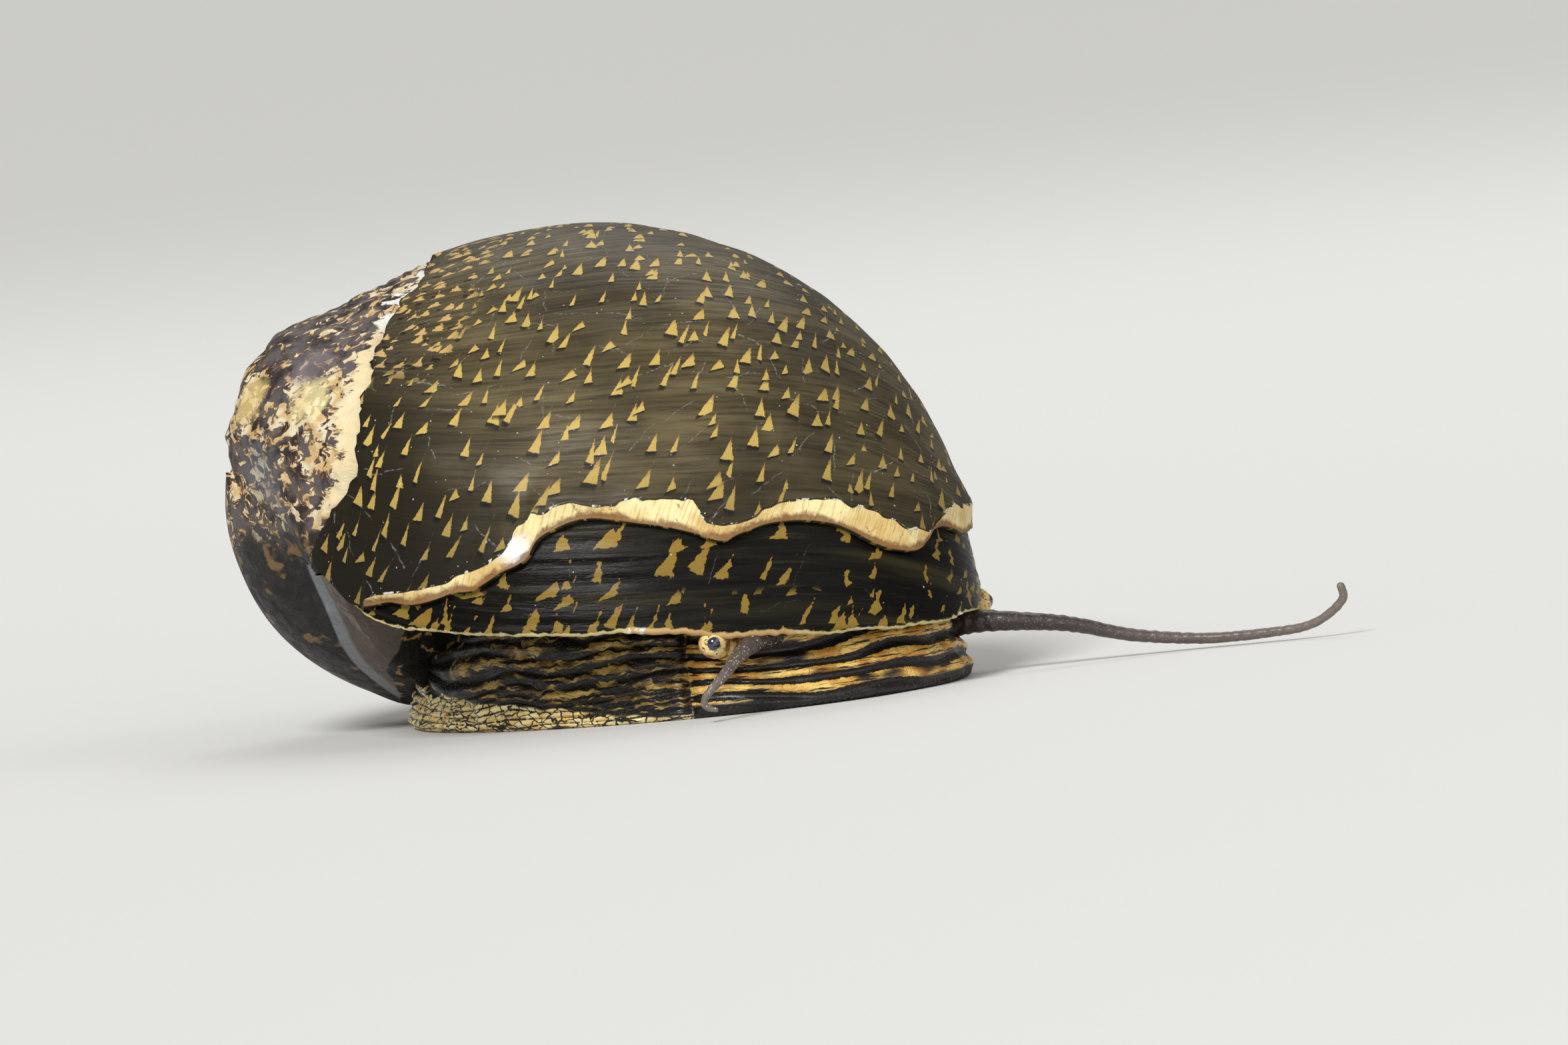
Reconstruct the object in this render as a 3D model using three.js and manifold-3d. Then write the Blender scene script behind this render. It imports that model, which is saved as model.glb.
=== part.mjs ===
// Nerite snail at rest, life size, in millimetres. +X is the way it heads, +Y its left, +Z up.
// The flat sole lies on z = 0 and its middle is the origin.
import * as THREE from "three";
import { mergeVertices } from "three/addons/utils/BufferGeometryUtils.js";
import Module from "manifold-3d";

const wasm = await Module();
wasm.setup();
const DEG = Math.PI / 180;
const group = new THREE.Group();

// The shell is worked out in a frame turned about Z: u right, v away, z up, then turned into place.
const SHELL_TURN = 45 * DEG;
const SHELL_DEPTH = 0.9; // its depth is this share of the drawn one
const SHELL_BACK = 1; // and it sits this far back over the foot

// Coil: a lip curve that turns about a tilted axis and grows by a fixed factor each turn.
const APEX = [-14.84, 3.62, 12.7];
const AXIS_AZ = 175.5 * DEG;
const AXIS_EL = 34 * DEG;
const GROWTH = 2.91;
const LIP_CENTRE = [-1.45, -2.1, 5.2];
const LIP_A = 12.84;
const LIP_B = 11.11;
const LIP_POWER = 1.904;
const LIP_TURN = 30.7 * DEG;
const LIP_START = 126.7;
const LIP_END = -60;
const LIP_SWELL = 1.96;
const LIP_TWIST = 1.61;
const LIP_SLOPE_U = Math.tan(-16.4 * DEG);
const LIP_SLOPE_V = Math.tan(18.7 * DEG);
const T_FIRST = -0.18; // where the curve starts, inside the older whorl
const T_LAST = 1; // where it ends, at the base

const AXIS = [
  Math.cos(AXIS_AZ) * Math.cos(AXIS_EL),
  Math.sin(AXIS_AZ) * Math.cos(AXIS_EL),
  Math.sin(AXIS_EL),
];

const add = (a, b) => [a[0] + b[0], a[1] + b[1], a[2] + b[2]];
const sub = (a, b) => [a[0] - b[0], a[1] - b[1], a[2] - b[2]];
const mul = (a, k) => [a[0] * k, a[1] * k, a[2] * k];
const dot = (a, b) => a[0] * b[0] + a[1] * b[1] + a[2] * b[2];
const cross = (a, b) => [
  a[1] * b[2] - a[2] * b[1],
  a[2] * b[0] - a[0] * b[2],
  a[0] * b[1] - a[1] * b[0],
];
const unit = (a) => mul(a, 1 / Math.hypot(a[0], a[1], a[2]));
const mix = (a, b, k) => a + (b - a) * k;

// The lip at share t of its way round: a rounded oval, tilted, swollen and gently twisted.
function lipCurve(t) {
  const f = mix(LIP_START, LIP_END, t) * DEG;
  const c = Math.cos(f);
  const s = Math.sin(f);
  const r = (Math.abs(c) ** LIP_POWER + Math.abs(s) ** LIP_POWER) ** (-1 / LIP_POWER);
  const x = LIP_A * r * c;
  const y = LIP_B * r * s;
  const u = x * Math.cos(LIP_TURN) - y * Math.sin(LIP_TURN);
  const v = -(x * Math.sin(LIP_TURN) + y * Math.cos(LIP_TURN));
  const z = LIP_SWELL * c * c + LIP_TWIST * Math.sin(2 * f) + u * LIP_SLOPE_U + v * LIP_SLOPE_V;
  return add(LIP_CENTRE, [u, v, z]);
}

// A point turned about the coil's axis.
function turned(p, angle) {
  const c = Math.cos(angle);
  const s = Math.sin(angle);
  return add(add(mul(p, c), mul(cross(AXIS, p), s)), mul(AXIS, dot(AXIS, p) * (1 - c)));
}

// s is the turn in degrees, 0 at the lip and less than 0 further back.
const size = (s) => GROWTH ** (s / 360);
function coilPoint(s, t) {
  return add(APEX, mul(turned(sub(lipCurve(t), APEX), -s * DEG), size(s)));
}

// A point of the drawn coil, squeezed in depth and turned into the row's frame.
const placed = (p) => {
  const v = p[1] * SHELL_DEPTH + SHELL_BACK;
  return [
    p[0] * Math.cos(SHELL_TURN) - v * Math.sin(SHELL_TURN),
    p[0] * Math.sin(SHELL_TURN) + v * Math.cos(SHELL_TURN),
    p[2],
  ];
};

// Triangles of one length of the coil, for finding how far out the shell lies.
const COIL_COLUMNS = 44;
function coilTriangles(from, to, step) {
  const columns = COIL_COLUMNS;
  const rows = Math.ceil((to - from) / step);
  const grid = [];
  for (let i = 0; i <= rows; i++)
    for (let j = 0; j <= columns; j++)
      grid.push(placed(coilPoint(mix(from, to, i / rows), mix(T_FIRST, T_LAST, j / columns))));
  const list = [];
  for (let i = 0; i < rows; i++)
    for (let j = 0; j < columns; j++) {
      const a = i * (columns + 1) + j;
      const b = a + columns + 1;
      list.push([grid[a], grid[a + 1], grid[b + 1]], [grid[a], grid[b + 1], grid[b]]);
    }
  return list.map(([p, q, r]) => ({ p, e: sub(q, p), f: sub(r, p) }));
}

// The farthest place where a ray from a centre meets the coil, or 0 where it meets nothing.
const FLAT = 1e-12; // a triangle seen edge on
const SLACK = 1e-6; // so that a ray between two triangles meets one of them
function reach(triangles, centre, way) {
  let best = 0;
  for (const { p, e, f } of triangles) {
    const h = cross(way, f);
    const det = dot(e, h);
    if (Math.abs(det) < FLAT) continue;
    const q = sub(centre, p);
    const a = dot(q, h) / det;
    if (a < -SLACK || a > 1 + SLACK) continue;
    const g = cross(q, e);
    const b = dot(way, g) / det;
    if (b < -SLACK || a + b > 1 + SLACK) continue;
    best = Math.max(best, dot(f, g) / det);
  }
  return best;
}

const ray = (theta, phi) => [
  Math.cos(theta * DEG) * Math.sin(phi * DEG),
  Math.sin(theta * DEG) * Math.sin(phi * DEG),
  Math.cos(phi * DEG),
];

// A smooth curve through pairs of (position, value); both ends stay level.
function through(pairs, x) {
  const last = pairs.length - 1;
  if (x <= pairs[0][0]) return pairs[0][1];
  if (x >= pairs[last][0]) return pairs[last][1];
  const i = pairs.findIndex((p) => p[0] > x) - 1;
  const slope = (k) => {
    const a = pairs[Math.max(k - 1, 0)];
    const b = pairs[Math.min(k + 1, last)];
    return (b[1] - a[1]) / (b[0] - a[0]);
  };
  const [x0, y0] = pairs[i];
  const [x1, y1] = pairs[i + 1];
  const w = x1 - x0;
  const k = (x - x0) / w;
  const h = 1 - k;
  const ends = (1 + 2 * k) * h * h * y0 + k * k * (1 + 2 * h) * y1;
  return ends + k * h * w * (h * slope(i) - k * slope(i + 1));
}

// A closed body from rings of points, each end closed by a fan from the middle of its ring.
function loft(rings) {
  const n = rings[0].length;
  const points = rings.flat();
  const faces = [];
  for (let i = 0; i + 1 < rings.length; i++)
    for (let j = 0; j < n; j++) {
      const a = i * n + j;
      const b = i * n + ((j + 1) % n);
      faces.push(a, b, b + n, a, b + n, a + n);
    }
  for (const [start, flip] of [[0, false], [(rings.length - 1) * n, true]]) {
    const middle = points.length;
    points.push(mul(points.slice(start, start + n).reduce(add, [0, 0, 0]), 1 / n));
    for (let j = 0; j < n; j++) {
      const [a, b] = [start + j, start + ((j + 1) % n)];
      if (flip) faces.push(a, b, middle);
      else faces.push(a, middle, b);
    }
  }
  return solid(points.flat(), faces);
}

// A solid from corner numbers and faces, turned right side out.
function solid(numbers, faces) {
  const make = (f) =>
    new wasm.Manifold(
      new wasm.Mesh({
        numProp: 3,
        vertProperties: new Float32Array(numbers),
        triVerts: new Uint32Array(f),
      }),
    );
  const body = make(faces);
  if (body.volume() > 0) return body;
  const back = [];
  for (let i = 0; i < faces.length; i += 3) back.push(faces[i], faces[i + 2], faces[i + 1]);
  return make(back);
}

// A three.js shape moved to a place, as a solid that can be cut.
function cuttable(shape, place) {
  shape.translate(...place);
  const bare = new THREE.BufferGeometry();
  bare.setAttribute("position", shape.getAttribute("position"));
  bare.setIndex(shape.index);
  const merged = mergeVertices(bare);
  return solid(Array.from(merged.getAttribute("position").array), Array.from(merged.index.array));
}

function node(name, body, color, roughness) {
  if (!body) throw new Error(name + " is empty");
  const m = body.getMesh();
  const v = new Float32Array(m.numVert * 3);
  for (let i = 0; i < m.numVert; i++)
    v.set(m.vertProperties.subarray(i * m.numProp, i * m.numProp + 3), i * 3);
  const g = new THREE.BufferGeometry();
  g.setAttribute("position", new THREE.BufferAttribute(v, 3));
  g.setIndex(new THREE.BufferAttribute(new Uint32Array(m.triVerts), 1));
  g.computeVertexNormals();
  const mesh = new THREE.Mesh(g, new THREE.MeshStandardMaterial({ color, roughness }));
  mesh.name = name;
  group.add(mesh);
}

// The biggest piece of a cut body.
function largest(body) {
  return body.decompose().sort((a, b) => b.volume() - a.volume())[0];
}

const GAP = 0.3;

// Flesh: rings of one oval, from the flat sole up into the shell.
const FOOT_LONG = 10.9; // half the length
const FOOT_WIDE = 8.2; // half the width
const FOOT_POWER = 2.15;
const FOOT_RINGS = [
  [0, 0.985],
  [0.3, 1],
  [1.0, 0.985],
  [1.8, 0.96],
  [2.8, 0.93],
  [3.6, 0.86],
  [4.4, 0.72],
  [4.9, 0.5],
];
const CREASE_X = 6.8; // where the foot ends and the head starts
const ROUND = 56; // points round a big ring

function oval(long, wide, z) {
  const ring = [];
  for (let i = 0; i < ROUND; i++) {
    const a = (i / ROUND) * 2 * Math.PI;
    const c = Math.cos(a);
    const s = Math.sin(a);
    const r = (Math.abs(c) ** FOOT_POWER + Math.abs(s) ** FOOT_POWER) ** (-1 / FOOT_POWER);
    ring.push([long * r * c, wide * r * s, z]);
  }
  return ring;
}

const flesh = (out) =>
  loft(
    FOOT_RINGS.map(([z, k], i) =>
      oval(FOOT_LONG * k + out, FOOT_WIDE * k + out, i ? z + out : z - out),
    ),
  );

// A big plain block whose face across X lies at x and which goes on from there, way 1 forwards or -1 back.
const BLOCK = 40;
function block(x, way) {
  return cuttable(new THREE.BoxGeometry(BLOCK, BLOCK, BLOCK), [x + (way * BLOCK) / 2, 0, 0]);
}

// Shell: seen from a point inside it, every way out meets its surface once.
const CENTRE = [-1.5, 1.0, 6.5];
// Polar angle of the free edge and of the old broken edge above it, at each angle round the centre.
const RIM = [
  [-180, 120], [-165, 124], [-150, 125], [-136, 122], [-127, 117], [-119, 109], [-112, 100],
  [-107, 94], [-104, 91.6], [-100, 95.3], [-92, 99.5], [-84, 101.2], [-66, 103.6], [-48, 104.9],
  [-38, 106.4], [-19, 107.6], [-2, 108.4], [15, 108.5], [32, 107], [60, 109], [100, 112],
  [140, 114], [165, 117], [180, 120],
];
const RIDGE = [
  [-104, 91.8], [-97, 95.7], [-90, 95.7], [-82, 95.2], [-75, 93.6], [-70, 90.2], [-66.6, 86.1],
  [-58, 84.8], [-50, 85.1], [-42, 86.6], [-37.5, 89.2], [-34, 92.2], [-28, 90.3], [-21, 89.2],
  [-12.6, 90.2], [-6, 94.3], [1, 97.5], [9, 94.2], [21, 94.5], [40, 97], [60, 100], [90, 106],
  [100, 110],
];
const RIDGE_PROUD = 0.3; // how far the old edge stands out
const BAND_BACK = 0.3; // the newer growth below it lies this much deeper
const BAND_WALL = 1.3; // and it is this thick
const BAND_FROM = -93; // angles round the centre where the band starts and ends
const BAND_TO = 95;
const EDGE_BEFORE = 12; // the old edge goes on this many degrees before the band
const EDGE_AFTER = 5; // and this many after it
const EDGE_CLEAR = 0.5; // and it stays this many degrees above the free edge
const EDGE_ABOVE = 1.6; // its roll is highest this many degrees above it
const EDGE_WIDE = 2.2;
const NO_EDGE = 0.88; // share of the way down where the rows close up when there is no old edge
const ROUND_SHELL = 72; // points round the shell
const ridgeAt = (a) => through(RIDGE, a);
const rimAt = (a) => through(RIM, a);

// Round the edge of the older whorls: the seam with the last whorl, then down to the underside.
const SEAM = [
  [-150, 85.2], [-158.4, 82.2], [-165.7, 75], [-170.3, 64.1], [-169.5, 50.9], [-157.7, 39],
  [-145.6, 35.8], [-131, 36.3], [-118.1, 40.8], [-109.4, 48.7], [-105, 58.7], [-103.9, 69.6],
  [-105, 80.5], [-107, 88], [-108.5, 96], [-111, 112], [-114, 132], [-150, 132],
];
const SPIRE_MIDDLE = [-135, 78];
const SPIRE_WORN = 0.25; // the older whorls are worn down by this much
const SMOOTH_ROUNDS = 6; // how often the radii near the spire are evened out
const SMOOTH_SHARE = 0.6;
const SMOOTH_FAR = 52; // degrees from the spire's middle where that stops
const SMOOTH_FADE = 14;
const STEP = 4; // degrees between the rays
// Seen square to the side the model was measured from, the worn spire is filled out by these amounts:
// angle up from the left, then millimetres.
const FILL = [
  [-32, 0], [-20, 0.4], [-10, 0.6], [0, 0.6], [10, 0.75], [20, 1.6], [30, 1.35], [40, 0.35],
  [50, 0.2], [70, 0],
];
const FILL_SPREAD = 45;
const SEEN_FROM = -45; // angle round Z of the way to the eye

function filled(way) {
  const out = ray(SEEN_FROM, 90);
  const side = dot(way, [Math.sin(SEEN_FROM * DEG), -Math.cos(SEEN_FROM * DEG), 0]);
  const toEye = Math.asin(dot(way, out)) / DEG;
  const up = Math.atan2(way[2], side) / DEG;
  return through(FILL, up) * Math.exp(-((toEye / FILL_SPREAD) ** 2));
}

const at = (centre, theta, phi, r) => add(centre, mul(ray(theta, phi), r));

// Radii of the shell on a grid of ways out, evened out where the older whorls show.
const COIL_FROM = -620; // degrees of growth that count
const COIL_TO = 6;
const COIL_STEP = 5;
const COLUMNS = 360 / STEP;
const LAYERS = 34;
const radii = [];
{
  const coil = coilTriangles(COIL_FROM, COIL_TO, COIL_STEP);
  const middle = ray(...SPIRE_MIDDLE);
  const share = [];
  for (let i = 0; i <= LAYERS; i++) {
    radii.push([]);
    share.push([]);
    for (let j = 0; j < COLUMNS; j++) {
      const way = ray(j * STEP, i * STEP);
      const away = Math.acos(dot(way, middle)) / DEG;
      radii[i].push(reach(coil, CENTRE, way));
      share[i].push(Math.min(1, Math.max(0, (SMOOTH_FAR - away) / SMOOTH_FADE)));
    }
    for (let j = 0; j < COLUMNS; j++)
      if (!radii[i][j]) radii[i][j] = radii[i - 1][j];
  }
  for (let round = 0; round < SMOOTH_ROUNDS; round++) {
    const old = radii.map((row) => row.slice());
    for (let i = 1; i <= LAYERS; i++)
      for (let j = 0; j < COLUMNS; j++) {
        const side = old[i][(j + 1) % COLUMNS] + old[i][(j + COLUMNS - 1) % COLUMNS];
        const mean = (side + old[i - 1][j] + old[Math.min(i + 1, LAYERS)][j]) / 4;
        radii[i][j] = mix(old[i][j], mean, SMOOTH_SHARE * share[i][j]);
      }
  }
  for (let i = 0; i <= LAYERS; i++)
    for (let j = 0; j < COLUMNS; j++) radii[i][j] += filled(ray(j * STEP, i * STEP));
}

// How far out the shell lies at any angle, between the grid's values.
function outTo(theta, phi) {
  const y = Math.min(Math.max(phi / STEP, 0), LAYERS - SLACK);
  const x = ((((theta / STEP) % COLUMNS) + COLUMNS) % COLUMNS);
  const [i, j] = [Math.floor(y), Math.floor(x) % COLUMNS];
  const k = (j + 1) % COLUMNS;
  const a = mix(radii[i][j], radii[i][k], x - Math.floor(x));
  const b = mix(radii[i + 1][j], radii[i + 1][k], x - Math.floor(x));
  return mix(a, b, y - i);
}

// Rows that close up towards the old edge, then on to the free edge.
const ROWS_ABOVE = [0.03, 0.1, 0.2, 0.3, 0.4, 0.5, 0.6, 0.68, 0.76, 0.83, 0.89, 0.93, 0.96, 0.985, 1];
const ROWS_BELOW = [0.25, 0.5, 0.75, 1];

// The whole shell as one closed dome, with its radii made less.
function dome(less) {
  const rings = ROWS_ABOVE.concat(ROWS_BELOW.map((k) => k + 1)).map(() => []);
  for (let i = 0; i < ROUND_SHELL; i++) {
    const theta = -180 + (360 * i) / ROUND_SHELL;
    const banded = theta > BAND_FROM - EDGE_BEFORE && theta < BAND_TO + EDGE_AFTER;
    const edge = Math.min(ridgeAt(theta), rimAt(theta) - EDGE_CLEAR);
    const ridge = banded ? edge : rimAt(theta) * NO_EDGE;
    const proud = banded ? RIDGE_PROUD : 0;
    const row = (phi, n) => {
      const bump = proud * Math.exp(-(((phi - ridge + EDGE_ABOVE) / EDGE_WIDE) ** 2));
      rings[n].push(at(CENTRE, theta, phi, outTo(theta, phi) + bump - less));
    };
    ROWS_ABOVE.forEach((k, n) => row(ridge * k, n));
    ROWS_BELOW.forEach((k, n) => row(mix(ridge, rimAt(theta), k), n + ROWS_ABOVE.length));
  }
  return loft(rings);
}

// The band of newer growth, or with grown > 0 the room it takes: wider, longer and open outwards.
const BAND_STEPS = 46;
const BAND_ROWS = 4;
const BAND_UNDER = 1.4; // degrees between the old edge and the band
const ROOM_DOWN = 6; // degrees that its room goes on below the free edge
const ROOM_LONG = 4.5; // degrees that its room is longer at each end, for each millimetre of gap
const ROOM_OUT = 1.5;
function band(grown) {
  const rings = [];
  const from = BAND_FROM - grown * ROOM_LONG;
  const to = BAND_TO + grown * ROOM_LONG;
  for (let i = 0; i <= BAND_STEPS; i++) {
    const theta = mix(from, to, i / BAND_STEPS);
    const top = ridgeAt(theta) + (grown ? 0 : BAND_UNDER);
    const low = rimAt(theta) + (grown ? ROOM_DOWN : 0);
    const outer = [];
    const inner = [];
    for (let j = 0; j <= BAND_ROWS; j++) {
      const phi = mix(top, low, j / BAND_ROWS);
      const r = outTo(theta, Math.min(phi, rimAt(theta)));
      outer.push(at(CENTRE, theta, phi, grown ? r + ROOM_OUT : r - BAND_BACK));
      inner.push(at(CENTRE, theta, phi, r - BAND_BACK - BAND_WALL - grown));
    }
    rings.push(outer.concat(inner.reverse()));
  }
  return loft(rings);
}

// Everything seen through the seam from the centre, moved out by a small amount.
const FAR = 30;
const FARTHER = 34;
function spireRoom(moved) {
  const tip = at(CENTRE, ...SPIRE_MIDDLE, moved);
  const points = SEAM.map(([theta, phi]) => at(tip, theta, phi, FAR));
  points.push(tip, at(tip, ...SPIRE_MIDDLE, FARTHER));
  const n = SEAM.length;
  const faces = [];
  for (let i = 0; i < n; i++) {
    const next = (i + 1) % n;
    faces.push(n, i, next, n + 1, next, i);
  }
  return solid(points.flat(), faces);
}

// A round tube along points of [x, y, z, radius], its ends closed. It is made thicker by out.
const ROUND_TUBE = 14;
function tube(path, out = 0) {
  const rings = path.map((p, i) => {
    const way = unit(sub(path[Math.min(i + 1, path.length - 1)], path[Math.max(i - 1, 0)]));
    const side = unit(cross(way, [0, 0, 1]));
    const up = cross(side, way);
    const ring = [];
    for (let j = 0; j < ROUND_TUBE; j++) {
      const a = (j / ROUND_TUBE) * 2 * Math.PI;
      const r = p[3] + out;
      ring.push(add(p.slice(0, 3), add(mul(side, r * Math.cos(a)), mul(up, r * Math.sin(a)))));
    }
    return ring;
  });
  return loft(rings);
}

// Points along a smooth curve through a few guides, between two shares of its length.
function along(guides, from, to, count) {
  const value = (k, t) => through(guides.map((g, i) => [i / (guides.length - 1), g[k]]), t);
  const path = [];
  for (let i = 0; i <= count; i++) {
    const t = mix(from, to, i / count);
    path.push([0, 1, 2, 3].map((k) => value(k, t)));
  }
  return path;
}

// The same points with both ends drawn in, so that the tube ends round.
const END_RINGS = [0.55, 0.9];
function rounded(path, depth) {
  const end = (p, q) => {
    const way = unit(sub(p, q));
    return END_RINGS.map((k) =>
      add(p.slice(0, 3), mul(way, p[3] * depth * k)).concat(p[3] * Math.sqrt(1 - k * k)),
    );
  };
  const last = path.length - 1;
  return [
    ...end(path[0], path[1]).reverse(),
    ...path,
    ...end(path[last], path[last - 1]),
  ];
}

// Feelers, as [x, y, z, radius]. The right one hangs down, the left one is held out in front.
const FEELER_RIGHT = [
  [8.42, -3.7, 2.5, 0.4],
  [9.04, -5.3, 2.45, 0.38],
  [9.36, -6.66, 2.08, 0.34],
  [9.47, -7.5, 1.62, 0.3],
  [9.4, -8.13, 1.2, 0.27],
  [9.2, -8.42, 0.82, 0.25],
  [9.19, -8.34, 0.55, 0.25],
  [9.42, -8.04, 0.4, 0.25],
];
const FEELER_LEFT = [
  [8.2, 4.6, 1.85, 0.36],
  [9.6, 5.3, 1.8, 0.36],
  [11.35, 7.1, 1.42, 0.32],
  [12.75, 8.9, 0.75, 0.29],
  [14.5, 10.5, 0.37, 0.27],
  [16.35, 11.5, 0.34, 0.26],
  [18.0, 12.3, 0.5, 0.25],
  [19.05, 12.8, 1.2, 0.25],
  [19.2, 12.65, 1.85, 0.22],
];
// The eyes, each on a short stalk; the left one is drawn further in under the shell.
const EYES = {
  left: {
    at: [7.9, 6.8, 2.35],
    stalk: [[6.6, 4.2, 2.3, 0.6], [7.25, 5.5, 2.3, 0.6], [7.6, 6.2, 2.3, 0.58]],
  },
  right: {
    at: [8.29, -6.78, 2.55],
    stalk: [[7.0, -4.0, 2.45, 0.6], [7.75, -5.35, 2.45, 0.6], [8.06, -6.12, 2.5, 0.58]],
  },
};
const EYE_RADIUS = 0.34;
const EYE_GAP = 0.15;
const EYE_ROUND = 20;
const EYE_ROWS = 14;
const STALK_END = 0.8; // how round the stalks end, as a share of their radius
const ROOM_END = 1.3; // and the rooms for them

const ball = (centre, r) => cuttable(new THREE.SphereGeometry(r, EYE_ROUND, EYE_ROWS), centre);

// Rooms that the shell leaves for the flesh under it.
const FEELER_RINGS = 8; // rings in each length of a feeler
const UNDER_SHELL_RIGHT = 0.5; // share of each feeler that starts under the shell
const UNDER_SHELL_LEFT = 0.4;
const bodyRoom = flesh(GAP);
const rooms = [
  bodyRoom,
  tube(along(FEELER_RIGHT, 0, UNDER_SHELL_RIGHT, FEELER_RINGS), GAP),
  tube(along(FEELER_LEFT, 0, UNDER_SHELL_LEFT, FEELER_RINGS), GAP),
  tube(rounded(EYES.left.stalk, ROOM_END), GAP),
  tube(rounded(EYES.right.stalk, ROOM_END), GAP),
  ball(EYES.left.at, EYE_RADIUS + GAP),
  ball(EYES.right.at, EYE_RADIUS + GAP),
];
const clear = (body) => largest(rooms.reduce((b, room) => b.subtract(room), body));

const SPIRE_MOVED = 0.45; // the spire's own room starts this much further out, which leaves the seam open

node("shell_body_whorl", clear(dome(0).subtract(spireRoom(0)).subtract(band(GAP))), 0x2b2417, 0.35);
node("shell_spire", clear(dome(SPIRE_WORN).intersect(spireRoom(SPIRE_MOVED))), 0xb9ab94, 0.7);
node("shell_new_growth", clear(band(0)), 0x15120c, 0.3);

const inside = flesh(0);
node("foot", inside.subtract(block(CREASE_X - GAP / 2, 1)), 0x6b5220, 0.5);
node("head", inside.subtract(block(CREASE_X + GAP / 2, -1)), 0x2a1d10, 0.5);

// One feeler in lengths: each has the share where it ends and its name.
function feeler(name, guides, lengths) {
  const steps = guides.slice(1).map((guide, i) => Math.hypot(...sub(guide, guides[i])));
  const half = GAP / 2 / steps.reduce((a, b) => a + b);
  let from = 0;
  lengths.forEach(([to, part], i) => {
    const last = i === lengths.length - 1;
    const path = along(guides, from, last ? to : to - half, FEELER_RINGS);
    const whole = last ? rounded(path, 1).slice(END_RINGS.length) : path;
    node(name + "_" + part, largest(tube(whole).subtract(bodyRoom)), 0x51434a, 0.45);
    from = to + half;
  });
}
feeler("feeler_right", FEELER_RIGHT, [[0.5, "base"], [1, "tip"]]);
feeler("feeler_left", FEELER_LEFT, [[0.36, "base"], [0.68, "middle"], [1, "tip"]]);

for (const [side, eye] of Object.entries(EYES)) {
  const stalk = tube(rounded(eye.stalk, STALK_END)).subtract(bodyRoom);
  const seat = ball(eye.at, EYE_RADIUS + EYE_GAP);
  node("eye_stalk_" + side, largest(stalk.subtract(seat)), 0x9a6a25, 0.4);
  node("eye_" + side, ball(eye.at, EYE_RADIUS), 0x10141c, 0.1);
}

export default group;
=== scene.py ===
"""Nerite snail at rest, life size: a fine shell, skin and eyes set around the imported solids.

Sizes here are millimetres in the row's frame (+X the way the snail heads, +Z up, the sole on z = 0);
put_mesh turns them into metres. Angles round the shell are degrees about SHELL_MIDDLE: theta round
the vertical, phi down from straight up.
"""

import bpy
import numpy as np
from mathutils import Matrix, Vector


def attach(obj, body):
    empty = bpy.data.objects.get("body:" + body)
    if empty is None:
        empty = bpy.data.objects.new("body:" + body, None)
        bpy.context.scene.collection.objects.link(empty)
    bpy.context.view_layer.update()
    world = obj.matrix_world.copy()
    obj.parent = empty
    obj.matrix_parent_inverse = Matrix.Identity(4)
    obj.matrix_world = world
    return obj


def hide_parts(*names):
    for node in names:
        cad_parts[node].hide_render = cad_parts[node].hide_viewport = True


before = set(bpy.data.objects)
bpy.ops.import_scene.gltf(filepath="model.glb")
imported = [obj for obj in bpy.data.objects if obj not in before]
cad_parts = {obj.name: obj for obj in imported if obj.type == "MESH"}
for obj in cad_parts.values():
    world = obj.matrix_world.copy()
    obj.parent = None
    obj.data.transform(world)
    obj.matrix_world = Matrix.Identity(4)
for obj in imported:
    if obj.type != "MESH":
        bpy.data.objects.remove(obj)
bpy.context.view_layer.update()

MM = 0.001

# Coil: a lip curve that turns about a tilted axis and grows by a fixed factor each turn.
SHELL_TURN = np.radians(45)
SHELL_DEPTH = 0.9
SHELL_BACK = 1.0
APEX = np.array([-14.84, 3.62, 12.7])
AXIS_AZ = np.radians(175.5)
AXIS_EL = np.radians(34)
AXIS = np.array([
    np.cos(AXIS_AZ) * np.cos(AXIS_EL),
    np.sin(AXIS_AZ) * np.cos(AXIS_EL),
    np.sin(AXIS_EL),
])
GROWTH = 2.91
LIP_CENTRE = np.array([-1.45, -2.1, 5.2])
LIP_A = 12.84
LIP_B = 11.11
LIP_POWER = 1.904
LIP_TURN = np.radians(30.7)
LIP_START = 126.7
LIP_END = -60
LIP_SWELL = 1.96
LIP_TWIST = 1.61
LIP_SLOPE_U = np.tan(np.radians(-16.4))
LIP_SLOPE_V = np.tan(np.radians(18.7))
T_FIRST = -0.18
T_LAST = 1.0
MM_PER_DEGREE = 0.27  # length of a degree of growth at the lip
MM_PER_LIP = 40.0  # length of the lip from the seam to the base

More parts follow.
